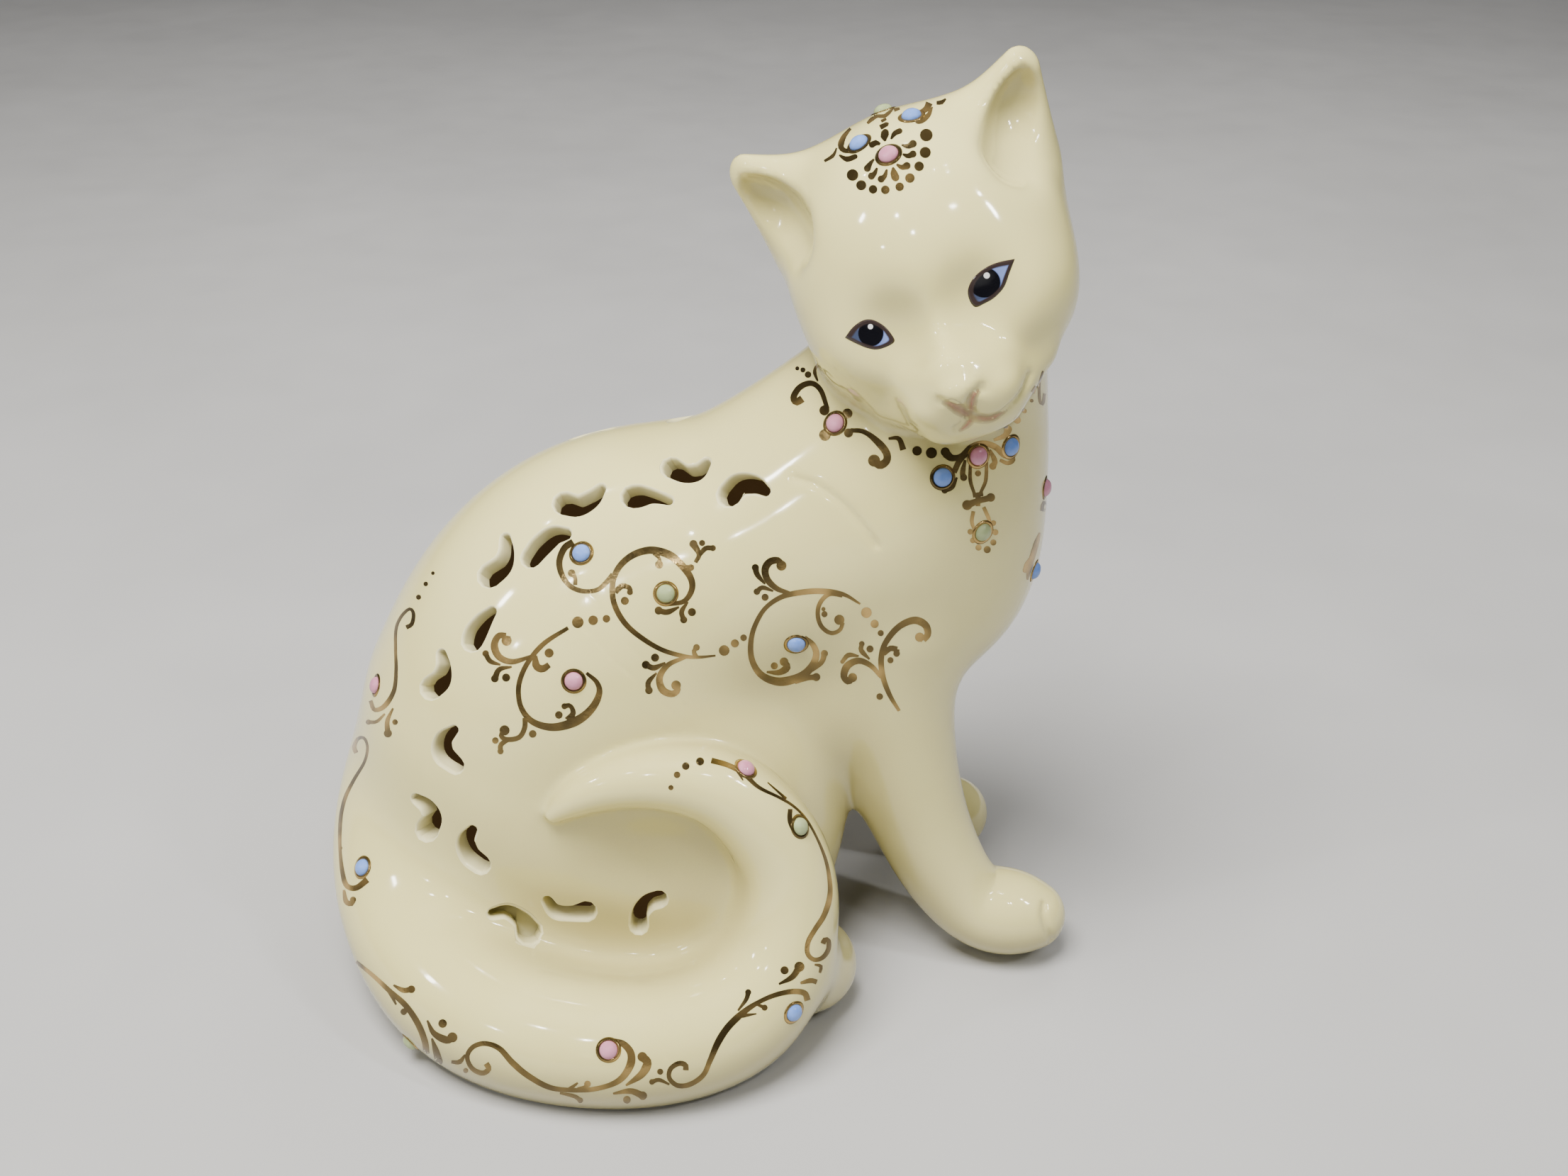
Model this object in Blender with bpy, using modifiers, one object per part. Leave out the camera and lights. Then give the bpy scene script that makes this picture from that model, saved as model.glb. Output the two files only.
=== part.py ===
"""A seated porcelain cat with its head turned to its right and its tail curled round its right haunch.

The cat faces +X and its right side faces -Y.  The origin is on the table, below the middle of the
body, and +Z is up.  Blender works in metres; the sizes below are in millimetres and mm() converts them.
Every casting starts as overlapping balls and limbs that a voxel remesh joins and a smooth softens.
"""

import math

import bmesh
import bpy
from mathutils import Euler, Matrix, Vector
from mathutils.bvhtree import BVHTree

# ---- driving dimensions, millimetres and degrees ----
WALL = 3.0  # thickness of the cast shells
GAP = 0.3  # clearance between a casting and the one it is luted to
NECK_JOINT_Z = 119.0  # the head casting sits on the neck here
VOXEL = 2.0  # grain of the remesh that joins the clay lumps
SOFTEN = 10  # smoothing passes over each join

# Trunk stations from the nape to the rump: (x, y, z, radius).
TRUNK = [
    (27, -3, 126, 20),
    (25, 0, 111, 23.5),
    (17.5, 0, 97.5, 28),
    (0, 1, 84, 29),
    (-15, 2, 76.5, 30.5),
    (-30, 3, 68, 35.3),
    (-40, 1, 58, 37.5),
    (-47, 0, 46, 37.5),
]
# Lumps that fill the trunk out: (centre, half sizes).
CHEST = ((24, 0, 86), (25, 24, 30))
RUMP = ((-45, 0, 26), (38, 37, 30))
FOOT = ((-32, -2, 8), (47, 36, 15))
SKIRT = ((-34, -33, 3), (36, 25, 11))
HAUNCH = ((-19, 18, 33), (31, 21.5, 35))  # given for the left side, mirrored to the right
OPENING = ((-38, -4), (26, 18))  # centre and half sizes of the open foot under the body

RIGHT_FORELEG = [
    (20, -12, 74, 14),
    (20.5, -13, 56, 12.6),
    (25, -15, 36, 10.4),
    (31.6, -17, 20, 9),
    (38.5, -19, 11, 8.4),
    (48.5, -20.3, 8.2, 7.8),
]
LEFT_FORELEG = [
    (18, 13, 74, 13),
    (16, 14, 56, 11),
    (19, 14, 36, 9.4),
    (24, 14, 20, 8.4),
    (30, 14, 11, 8.4),
    (36, 14, 8.4, 8.2),
]
HIND_PAW = [(-10, 34, 9, 9), (4.5, 34, 8, 8.2)]  # left paw, mirrored to the right
TOE_RADIUS, TOE_SPREAD, TOE_REACH, TOE_HEIGHT = 4.2, 4.5, 5.0, 6.2  # three toes at the end of a paw
TAIL = [
    (-69, 12, 34, 13),
    (-77, -6, 25, 12.8),
    (-75, -27, 17, 12),
    (-59.5, -47.5, 12, 10.8),
    (-35, -57, 11, 10.2),
    (-14, -54.5, 12, 10),
    (-1.5, -46.5, 19.5, 9.6),
    (1, -40, 34, 8.8),
    (-4.5, -37.5, 46.5, 8.1),
    (-14, -37, 53.5, 7.2),
    (-27, -37.5, 55, 5.6),
    (-37, -38.3, 52, 3.6),
    (-41.5, -38.8, 49, 2.2),
]

# The head is built looking along its own +Y with its right side at +X, then turned and set on the neck.
HEAD_CENTRE = (27.5, -11, 135)
HEAD_YAW, HEAD_PITCH, HEAD_ROLL = -9, 14, 23
SKULL = ((0, -3, 10), (24.3, 24, 25.4))
CHEEK = ((11, 4, -1), (11.6, 14, 12))
MUZZLE = ((0, 14, -9.5), (10.5, 10, 8))
LIP = ((4.2, 18.5, -12), (5.4, 5.4, 4.4))
CHIN = ((0, 15.5, -16), (6, 6.2, 4.2))
NOSE_BRIDGE = [(0, 10.5, 9, 8), (0, 20.5, -6.5, 5.6)]
EAR_ROOT, EAR_TIP = (16.8, -5, 21.8), (24.8, -1.6, 33.6)
EAR_RADII = (12.2, 4.0)  # at the root and at the tip
EAR_THINNESS = 0.55  # an ear's depth over its width
EAR_TURN = 38  # degrees that the opening of an ear faces outward
EAR_BALLS = 9
EAR_CUP = ((23.4, 3.2, 27.5), (5, 4.6, 7.5))
EYE_SOCKET = ((9.8, 20.6, 2.2), (5, 3, 3.4))
HEAD_CAVITY = ((0, -3, 8), (20, 20, 19))

# Pierced commas on each flank: (x, z, tilt of the comma, size).
COMMAS = [
    (-7, 105, -72, 1.1),
    (-17, 105, -62, 1.0),
    (-24.5, 101, -86, 0.95),
    (-36.5, 99, -50, 1.05),
    (-43, 93.5, -38, 1.05),
    (-52, 90, 0, 1.0),
    (-55, 80.5, -15, 0.95),
    (-63, 71, 0, 1.0),
    (-61.5, 59, 10, 1.0),
    (-67.5, 43.5, 20, 1.0),
    (-58.5, 38.5, 10, 1.0),
]
DISH_COMMAS = [(-51.5, 24.5, 60, 1.0), (-41.5, 27, 72, 1.0), (-26, 27, -30, 1.0)]  # right flank only
LEFT_COMMAS = COMMAS[:8] + COMMAS[10:]  # none lines up with the openings across the hollow
COMMA_LENGTH, COMMA_WIDTH = 9.5, 3.9

# Enamel beads: (name, x, z, colour), seated by a line of sight along Y onto the casting named first.
BEAD_RADIUS, BEAD_HEIGHT = 1.75, 1.0
FLANK_BEADS = [("blue_1", -36, 93), ("green_1", -21, 88), ("pink_1", -37.5, 74), ("blue_2", 2, 78)]
COLLAR_BEADS = [
    ("pink_1", 9, 116),
    ("blue_1", 27.5, 110),
    ("pink_2", 33.5, 113),
    ("blue_2", 39.5, 113),
    ("green_1", 35, 99),
]
CHEST_BEADS = [("pink", -7, 99), ("blue", -11.5, 85)]  # (name, y, z), seated by a line of sight along X
TAIL_BEADS = [
    ("blue_1", -81, 28),
    ("green_1", -68, 10),
    ("pink_1", -31.5, 16),
    ("blue_2", 2, 17),
    ("green_2", 2.5, 48),
    ("pink_2", -8, 58.5),
]
BACK_BEAD = (-77.5, 0, 61)
RIGHT_FLANK = (0, 1, 0)  # the line of sight onto the right flank
CROWN_BEADS = [("pink", -1.3, 13.8), ("blue_1", 3.2, 9.5), ("blue_2", -6.2, 6.4), ("green", -1.4, -1.3)]

# Colour, roughness and metallic value of each finish.
GLAZE = ("ivory_glaze", (0.80, 0.75, 0.58), 0.12)
ENAMEL = {
    "pink": ("pink_enamel", (0.75, 0.40, 0.55), 0.15),
    "blue": ("blue_enamel", (0.28, 0.45, 0.80), 0.15),
    "green": ("green_enamel", (0.50, 0.60, 0.38), 0.15),
}


def mm(*values):
    """Millimetres to metres: one value to a float, several to a vector."""
    metres = [v * 0.001 for v in values]
    return metres[0] if len(metres) == 1 else Vector(metres)


# ---- scene, materials and collections ----
def new_collection(name):
    made = bpy.data.collections.new(name)
    bpy.context.scene.collection.children.link(made)
    return made


def finish(name, colour, roughness):
    """A glossy dielectric material, made once for each name."""
    made = bpy.data.materials.get(name)
    if made is None:
        made = bpy.data.materials.new(name)
        made.use_nodes = True
        shader = made.node_tree.nodes["Principled BSDF"]
        shader.inputs["Base Color"].default_value = (*colour, 1)
        shader.inputs["Roughness"].default_value = roughness
        shader.inputs["Metallic"].default_value = 0
    return made


def place(name, mesh, group, material=None):
    """Puts a mesh in the scene as a named object."""
    made = bpy.data.objects.new(name, mesh)
    group.objects.link(made)
    if material:
        made.data.materials.append(material)
    return made


def guide(name, mesh):
    """An object that only cuts or measures, so it is never part of the cat."""
    made = place(name, mesh, CUTTERS)
    made.hide_render = True
    made.display_type = "WIRE"
    return made


# ---- lumps of clay ----
def ball(mesh, centre, half_sizes):
    """Adds an ellipsoid to a bmesh."""
    turned = Matrix.Translation(mm(*centre)) @ Matrix.Diagonal((*mm(*half_sizes), 1))
    bmesh.ops.create_uvsphere(mesh, u_segments=32, v_segments=20, radius=1, matrix=turned)


def mirrored(lump):
    (x, y, z), half_sizes = lump
    return (x, -y, z), half_sizes


def mirrored_limb(stations):
    return [(x, -y, z, radius) for x, y, z, radius in stations]


def limb(mesh, stations, shrink=0.0):
    """Adds a round limb through the stations (x, y, z, radius), with rounded ends."""
    curve = bpy.data.curves.new("limb", "CURVE")
    curve.dimensions = "3D"
    curve.bevel_depth = mm(1)
    curve.bevel_resolution = 5
    curve.resolution_u = 6
    curve.use_fill_caps = True
    spline = curve.splines.new("BEZIER")
    spline.bezier_points.add(len(stations) - 1)
    for point, (x, y, z, radius) in zip(spline.bezier_points, stations):
        point.co = mm(x, y, z)
        point.radius = radius - shrink
        point.handle_left_type = point.handle_right_type = "AUTO"
    stand_in = bpy.data.objects.new("limb", curve)
    bpy.context.scene.collection.objects.link(stand_in)
    graph = bpy.context.evaluated_depsgraph_get()
    tube = bpy.data.meshes.new_from_object(stand_in.evaluated_get(graph))
    mesh.from_mesh(tube)
    bpy.data.objects.remove(stand_in)
    for x, y, z, radius in (stations[0], stations[-1]):
        ball(mesh, (x, y, z), (radius - shrink,) * 3)


def modifier(target, kind, **settings):
    made = target.modifiers.new(kind.lower(), kind)
    for key, value in settings.items():
        setattr(made, key, value)
    return made


def baked(target):
    """Applies the modifiers, so that another object can be cut by the result."""
    graph = bpy.context.evaluated_depsgraph_get()
    target.data = bpy.data.meshes.new_from_object(target.evaluated_get(graph))
    target.modifiers.clear()
    return target


def blend(name, fill, keep, voxel=VOXEL, soften=SOFTEN):
    """One smooth casting from the lumps that fill(bmesh) adds.  keep is the share of triangles kept."""
    lumps = bmesh.new()
    fill(lumps)
    bmesh.ops.remove_doubles(lumps, verts=lumps.verts, dist=mm(0.001))
    mesh = bpy.data.meshes.new(name)
    lumps.to_mesh(mesh)
    lumps.free()
    made = guide(name, mesh)
    modifier(made, "REMESH", mode="VOXEL", voxel_size=mm(voxel))
    modifier(made, "SMOOTH", factor=0.5, iterations=soften)
    modifier(made, "DECIMATE", ratio=keep)
    modifier(made, "TRIANGULATE")
    return baked(made)


def grown(source, name, by):
    """A copy of a casting swollen by a clearance, which cuts the piece that is luted to it."""
    made = guide(name, source.data.copy())
    modifier(made, "DISPLACE", strength=mm(by), mid_level=0)
    return baked(made)


def cut(target, cutter, operation="DIFFERENCE"):
    modifier(target, "BOOLEAN", operation=operation, solver="EXACT", object=cutter)
    return baked(target)


def block(name, low, high):
    """A box cutter between two corners."""
    mesh = bmesh.new()
    size = [b - a for a, b in zip(low, high)]
    middle = [(a + b) / 2 for a, b in zip(low, high)]
    spot = Matrix.Translation(mm(*middle)) @ Matrix.Diagonal((*mm(*size), 1))
    bmesh.ops.create_cube(mesh, size=1, matrix=spot)
    made = bpy.data.meshes.new(name)
    mesh.to_mesh(made)
    mesh.free()
    return guide(name, made)


# ---- the castings ----
def paw(mesh, stations):
    """A limb that ends in three toes."""
    limb(mesh, stations)
    x, y, _, _ = stations[-1]
    for step in (-1, 0, 1):
        spot = (x + TOE_REACH - abs(step), y + step * TOE_SPREAD, TOE_HEIGHT)
        ball(mesh, spot, (TOE_RADIUS, TOE_RADIUS * 0.85, TOE_RADIUS))


def fill_body(mesh):
    limb(mesh, TRUNK)
    for lump in (CHEST, RUMP, FOOT, SKIRT, HAUNCH, mirrored(HAUNCH)):
        ball(mesh, *lump)


def fill_cavity(mesh):
    """The hollow inside the body: the trunk less its wall, running out through the open foot."""
    limb(mesh, TRUNK, shrink=WALL)
    for centre, half_sizes in (CHEST, RUMP, HAUNCH, mirrored(HAUNCH)):
        ball(mesh, centre, [size - WALL for size in half_sizes])
    (x, y), (half_x, half_y) = OPENING
    spot = Matrix.Translation(mm(x, y, 4)) @ Matrix.Diagonal((*mm(half_x, half_y, 30), 1))
    bmesh.ops.create_cone(mesh, cap_ends=True, segments=32, radius1=1, radius2=1, depth=1, matrix=spot)


def head_matrix():
    turn = (
        Matrix.Rotation(math.radians(HEAD_YAW), 4, "Z")
        @ Matrix.Rotation(math.pi, 4, "Z")
        @ Matrix.Rotation(math.radians(HEAD_PITCH), 4, "X")
        @ Matrix.Rotation(math.radians(HEAD_ROLL), 4, "Y")
    )
    return Matrix.Translation(mm(*HEAD_CENTRE)) @ turn


def ear(mesh, side):
    """A flat rounded cone: a run of flat balls that shrink toward the tip and face outward."""
    turned = Matrix.Rotation(math.radians(-side * EAR_TURN), 4, "Z")
    for step in range(EAR_BALLS):
        share = step / (EAR_BALLS - 1)
        x, y, z = Vector(EAR_ROOT).lerp(Vector(EAR_TIP), share)
        radius = EAR_RADII[0] + (EAR_RADII[1] - EAR_RADII[0]) * share
        flat = Matrix.Diagonal((*mm(radius, radius * EAR_THINNESS, radius), 1))
        spot = Matrix.Translation(mm(side * x, y, z)) @ turned @ flat
        bmesh.ops.create_uvsphere(mesh, u_segments=32, v_segments=20, radius=1, matrix=spot)


def fill_head(mesh):
    ball(mesh, *SKULL)
    ball(mesh, *MUZZLE)
    ball(mesh, *CHIN)
    limb(mesh, NOSE_BRIDGE)
    for side in (-1, 1):
        for (x, y, z), half_sizes in (CHEEK, LIP):
            ball(mesh, (side * x, y, z), half_sizes)
        ear(mesh, side)
    mesh.transform(head_matrix())
    limb(mesh, TRUNK[:2])


def lump_cutter(name, centre, half_sizes, turn=None, segments=16):
    """An ellipsoid cutter, turned with the head if asked."""
    mesh = bmesh.new()
    spot = Matrix.Translation(mm(*centre)) @ Matrix.Diagonal((*mm(*half_sizes), 1))
    bmesh.ops.create_uvsphere(mesh, u_segments=segments, v_segments=segments // 2, radius=1, matrix=spot)
    if turn:
        mesh.transform(turn)
    made = bpy.data.meshes.new(name)
    mesh.to_mesh(made)
    mesh.free()
    return guide(name, made)


def make_piece(name, casting):
    """Moves a finished casting from the cutters to the cat."""
    CUTTERS.objects.unlink(casting)
    CAT.objects.link(casting)
    casting.hide_render = False
    casting.display_type = "TEXTURED"
    casting.name = name
    casting.data.materials.clear()
    casting.data.materials.append(finish(*GLAZE))
    casting.data.shade_smooth()
    casting.data.set_sharp_from_angle(angle=math.radians(40))
    return casting


# ---- openings and beads, found by lines of sight ----
def surface_of(casting):
    mesh = bmesh.new()
    mesh.from_mesh(casting.data)
    tree = BVHTree.FromBMesh(mesh)
    mesh.free()
    return tree


def seat(tree, through, toward):
    """The point and outward direction where a line of sight first meets a casting.

    Eight lines round the first average out the facets, and lift the point clear of a hollow."""
    sight = Vector(toward)
    across = sight.orthogonal().normalized()
    start = mm(*through) - sight * mm(200)
    point, normal, _, _ = tree.ray_cast(start, sight)
    total = normal.copy()
    found = []
    for step in range(8):
        aside = Matrix.Rotation(step * math.pi / 4, 3, sight) @ across * mm(BEAD_RADIUS)
        beside, facing, _, _ = tree.ray_cast(start + aside, sight)
        if beside:
            total += facing
            found.append(beside)
    total.normalize()
    lift = max([0] + [(spot - point).dot(total) for spot in found])
    return point + total * lift, total


def stood_on(point, normal, tilt=0.0):
    """A frame with +Z along the normal and +Y as near to upright as it can be, turned by tilt."""
    across = Vector((0, 0, 1)).cross(normal).normalized()
    upright = normal.cross(across)
    turn = Matrix((across, upright, normal)).transposed().to_4x4()
    return Matrix.Translation(point) @ turn @ Matrix.Rotation(math.radians(tilt), 4, "Z")


def comma(solid, frame, size):
    """Adds a comma-shaped punch to a bmesh: a round head and a tail that bends aside."""
    length, width = COMMA_LENGTH * size, COMMA_WIDTH * size
    points = []
    for step in range(6):
        angle = math.pi * step / 5
        points.append((width / 2 * math.cos(angle), (width - length - width * math.sin(angle)) / 2))
    points.append((-width * 0.42, 0))
    points.append((-width * 0.05, length * 0.3))
    points.append((width * 0.5, length / 2))
    points.append((width * 0.72, length * 0.42))
    points.append((width * 0.42, length * 0.15))
    outline = bpy.data.curves.new("comma", "CURVE")
    outline.dimensions = "2D"
    outline.fill_mode = "BOTH"
    outline.extrude = mm(WALL * 2.2)
    spline = outline.splines.new("POLY")
    spline.points.add(len(points) - 1)
    for spot, (x, y) in zip(spline.points, points):
        spot.co = (*mm(x, y, 0), 1)
    spline.use_cyclic_u = True
    stand_in = bpy.data.objects.new("comma", outline)
    bpy.context.scene.collection.objects.link(stand_in)
    graph = bpy.context.evaluated_depsgraph_get()
    punch = bpy.data.meshes.new_from_object(stand_in.evaluated_get(graph))
    bpy.data.objects.remove(stand_in)
    punch.transform(frame)
    solid.from_mesh(punch)


def pierce(body, tree):
    """Cuts the commas through both flanks.  The left flank mirrors the right."""
    solid = bmesh.new()
    for side, spots in ((-1, COMMAS + DISH_COMMAS), (1, LEFT_COMMAS)):
        for x, z, tilt, size in spots:
            frame = stood_on(*seat(tree, (x, 0, z), (0, -side, 0)), side * -tilt)
            comma(solid, frame @ Matrix.Diagonal((-side, 1, 1, 1)), size)
    bmesh.ops.remove_doubles(solid, verts=solid.verts, dist=mm(0.001))
    bmesh.ops.recalc_face_normals(solid, faces=solid.faces)
    mesh = bpy.data.meshes.new("commas")
    solid.to_mesh(mesh)
    solid.free()
    cut(body, guide("commas", mesh))


def bead(name, colour, point, normal):
    """A low dome of enamel, standing on the glaze."""
    dome = bmesh.new()
    bmesh.ops.create_uvsphere(dome, u_segments=10, v_segments=6, radius=1)
    everything = dome.verts[:] + dome.edges[:] + dome.faces[:]
    halved = bmesh.ops.bisect_plane(
        dome, geom=everything, plane_co=(0, 0, 0), plane_no=(0, 0, 1), clear_inner=True, dist=1e-5
    )
    rim = [part for part in halved["geom_cut"] if isinstance(part, bmesh.types.BMEdge)]
    bmesh.ops.contextual_create(dome, geom=rim)
    dome.transform(Matrix.Diagonal((*mm(BEAD_RADIUS, BEAD_RADIUS, BEAD_HEIGHT), 1)))
    mesh = bpy.data.meshes.new(name)
    dome.to_mesh(mesh)
    dome.free()
    mesh.shade_smooth()
    made = place(name, mesh, CAT, finish(*ENAMEL[colour]))
    made.matrix_world = stood_on(point + normal * mm(GAP), normal)
    return made


def luted(name, fill, keep, cutters):
    """A casting cut to fit against the ones it is luted to."""
    made = blend(name + "_outside", fill, keep, voxel=1.5, soften=6)
    for cutter in cutters:
        cut(made, cutter)
    return make_piece(name, made)


# ---- build ----
for leftover in list(bpy.data.objects):
    bpy.data.objects.remove(leftover)
CAT = new_collection("porcelain_cat")
CUTTERS = new_collection("cutters")

table = block("table", (-150, -120, -60), (120, 120, 0))
above_neck = block("above_neck", (-100, -100, NECK_JOINT_Z - GAP / 2), (120, 100, 250))
below_neck = block("below_neck", (-150, -100, -60), (120, 100, NECK_JOINT_Z + GAP / 2))

body = blend("body_outside", fill_body, keep=0.085)
cut(body, table)
body_clearance = grown(body, "body_clearance", GAP)
cavity = blend("body_cavity", fill_cavity, keep=0.035)
body_surface = surface_of(body)
cut(body, above_neck)
cut(body, cavity)
pierce(body, body_surface)
make_piece("body_shell", body)

head = blend("head_outside", fill_head, keep=0.17)
for side in (-1, 1):
    (x, y, z), half_sizes = EAR_CUP
    cut(head, lump_cutter("ear_cup", (side * x, y, z), half_sizes, head_matrix()))
    (x, y, z), half_sizes = EYE_SOCKET
    cut(head, lump_cutter("eye_socket", (side * x, y, z), half_sizes, head_matrix()))
head_surface = surface_of(head)
cut(head, below_neck)
cut(head, lump_cutter("head_cavity", *HEAD_CAVITY, head_matrix()))
cut(head, lump_cutter("neck_cavity", (25, -3, 121), (16.5, 16.5, 12)))
make_piece("head_shell", head)


tail = luted("tail", lambda mesh: limb(mesh, TAIL), 0.065, (body_clearance, table))
tail_clearance = grown(tail, "tail_clearance", GAP)
tail_surface = surface_of(tail)
luted("foreleg_right", lambda mesh: paw(mesh, RIGHT_FORELEG), 0.12, (body_clearance, table))
luted("foreleg_left", lambda mesh: paw(mesh, LEFT_FORELEG), 0.12, (body_clearance, table))
hind_cutters = (body_clearance, tail_clearance, table)
luted("hind_paw_left", lambda mesh: paw(mesh, HIND_PAW), 0.15, hind_cutters)
luted("hind_paw_right", lambda mesh: paw(mesh, mirrored_limb(HIND_PAW)), 0.15, hind_cutters)

for side, word in ((-1, "right"), (1, "left")):
    for name, x, z in FLANK_BEADS:
        bead(f"bead_flank_{word}_{name}", name.split("_")[0], *seat(body_surface, (x, 0, z), (0, -side, 0)))
for name, x, z in COLLAR_BEADS:
    bead(f"bead_collar_{name}", name.split("_")[0], *seat(body_surface, (x, 0, z), RIGHT_FLANK))
for name, y, z in CHEST_BEADS:
    bead(f"bead_chest_{name}", name, *seat(body_surface, (0, y, z), (-1, 0, 0)))
for name, x, z in TAIL_BEADS:
    bead(f"bead_tail_{name}", name.split("_")[0], *seat(tail_surface, (x, 0, z), RIGHT_FLANK))
bead("bead_back_pink", "pink", *seat(body_surface, BACK_BEAD, RIGHT_FLANK))
for name, x, y in CROWN_BEADS:
    start = head_matrix() @ mm(x, y, 60)
    down = head_matrix().to_3x3() @ Vector((0, 0, -1))
    point, normal, _, _ = head_surface.ray_cast(start, down)
    bead(f"bead_crown_{name}", name.split("_")[0], point, normal)
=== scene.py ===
"""A pierced porcelain cat with gold transfers and enamel beads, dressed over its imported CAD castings.

Lengths in the tables below are millimetres.  The cat faces +X, its right side faces -Y, +Z is up.
"""

import math

import bmesh
import bpy
import numpy as np
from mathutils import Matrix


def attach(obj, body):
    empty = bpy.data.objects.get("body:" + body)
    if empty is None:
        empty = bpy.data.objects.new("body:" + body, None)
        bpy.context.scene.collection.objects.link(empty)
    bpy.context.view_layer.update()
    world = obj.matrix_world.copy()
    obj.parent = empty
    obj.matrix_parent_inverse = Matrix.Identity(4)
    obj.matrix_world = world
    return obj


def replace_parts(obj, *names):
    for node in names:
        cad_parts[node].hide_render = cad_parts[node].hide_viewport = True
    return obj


MM = 0.001
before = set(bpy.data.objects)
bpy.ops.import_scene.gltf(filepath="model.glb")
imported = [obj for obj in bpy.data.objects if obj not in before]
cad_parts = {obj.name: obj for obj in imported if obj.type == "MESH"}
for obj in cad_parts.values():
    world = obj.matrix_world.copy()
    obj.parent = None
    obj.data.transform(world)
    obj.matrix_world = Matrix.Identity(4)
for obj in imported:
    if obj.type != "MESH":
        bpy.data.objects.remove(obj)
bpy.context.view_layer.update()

# ---- the clay: stations (x, y, z, radius) and lumps (centre, half sizes, width of the fillet) ----
TRUNK = [
    (27, -3, 124, 20),
    (25, 0, 111, 23.5),
    (17.5, 0, 97.5, 28),
    (0, 1, 84, 29),
    (-15, 2, 76.5, 30.5),
    (-30, 3, 68, 35.3),
    (-40, 1, 58, 37.5),
    (-47, 0, 46, 37.5),
]
CHEST = ((24, 0, 86), (25, 24, 30), 12)
RUMP = ((-45, 0, 26), (38, 37, 30), 16)
HAUNCH = ((-19, 18, 33), (31, 21.5, 35), 14)
SKIRT = ((-33, -34, 0), (38, 25, 9), 20)
ELBOW = ((7, -15.5, 60), (11, 8.8, 15), 12)
DISH = ((-22, -46.5, 40), (19, 9.5, 14), 8)
RIGHT_FORELEG = [
    (20, -12, 74, 14),
    (20.5, -13, 56, 12.6),
    (25, -15, 36, 10.4),
    (31.6, -17, 20, 9),
    (38.5, -19, 11.4, 8.4),
    (45, -20, 9.5, 8.8),
    (50.2, -20.5, 9, 7.1),
]
LEFT_FORELEG = [
    (18, 13, 74, 13),
    (16, 14, 56, 11),
    (19, 14, 36, 9.4),
    (24, 14, 20, 8.4),
    (30, 14, 11, 8.4),
    (36.8, 14, 8.4, 8.2),
]
HIND_PAW = [(-10, 34, 9, 9), (5.5, 34, 8, 8.4)]
TAIL = [
    (-69, 12, 34, 13),
    (-77, -6, 25, 12.8),
    (-75, -27, 17, 12),
    (-59.5, -47.5, 12, 10.8),
    (-35, -57, 11, 10.2),
    (-14, -54.5, 12, 10),
    (-1.5, -46.5, 19.5, 9.6),
    (1, -40, 34, 8.8),
    (-4.5, -37.5, 46.5, 8.1),
    (-14, -37, 54.2, 7),
    (-27, -37.5, 55.8, 5.5),
    (-37, -38.3, 52.5, 3.6),
    (-42, -38.8, 48.6, 1.6),
]
# The head has its own axes: x to the cat's right, y out through the nose, z up.
HEAD_CENTRE = (27.9, -11, 135)
HEAD_TURN = (-9, 14, 23)
SKULL = ((0, -3, 10), (24.7, 24, 25.4))
CHEEK = ((10.5, 4, 0), (11.4, 14, 11), 10)
BRIDGE = [(0, 9, 9, 8.8), (0, 18.4, -6.2, 7.2)]
NOSE = ((0, 23.4, -10), (3.6, 3.2, 2.6), 3)
MUZZLE = ((0, 14, -9.5), (10.5, 10, 8), 6)
LIP = ((4.2, 18.5, -12), (5.4, 5.4, 4.4), 3)
CHIN = ((0, 15.5, -15.4), (6, 6.2, 4.0), 4)
JAW = [(5.5, 15, -15.2, 3.4), (12, 8.5, -10, 3.9)]
SOCKET = ((8.6, 24, 1.5), (6.5, 5.5, 6), 9)
EAR_ROOT, EAR_TIP = (16.8, -5, 21.8, 11.7), (24.8, -1.6, 33.6, 3.7)
EAR_FACING = (0.8, 1, 0)
EAR_SQUASH, EAR_STRETCH = 0.9, 1.4  # the squash stretches distances by about the second
EAR_CUP = [(25.6, 0.6, 32.6, 1.3), (23.2, 1.4, 27.4, 4.9), (20.8, 7.8, 22.4, 5.2)]
WALL = 3.2
NECK_TOP = 112  # the hollow stops here
# Creases pressed into the clay, as (stations, softness); they are worked out from CREASES further down.
GROOVES = []

# ---- the sheet: drawings lie flat on it, and are wrapped on along sight lines from the eye point ----
# It leans 30 degrees back from upright.
SHEET_CENTRE = np.array([0.0, 0.0, 74.0])
SHEET_UP = np.array([0.0, 0.5, math.sqrt(0.75)])
SIGHT = np.array([0.0, math.sqrt(0.75), -0.5])
EYE_POINT = SHEET_CENTRE - SIGHT * 332.45

# ---- sampling ----
GRID = 0.8
LOW, HIGH = (-100, -74, -3), (64, 48, 186)
BATCH = 200000
REACH = 26  # further out than this, a limb's distance is only that of its box


# ---- distance fields ----
def ellipsoid(p, centre, half):
    """Distance to a lump, near enough for blending."""
    q = (p - np.float32(centre)) / np.float32(half)
    near = np.sqrt((q * q).sum(-1))
    return near * (near - 1) / (np.sqrt(((q / np.float32(half)) ** 2).sum(-1)) + 1e-9)


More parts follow.
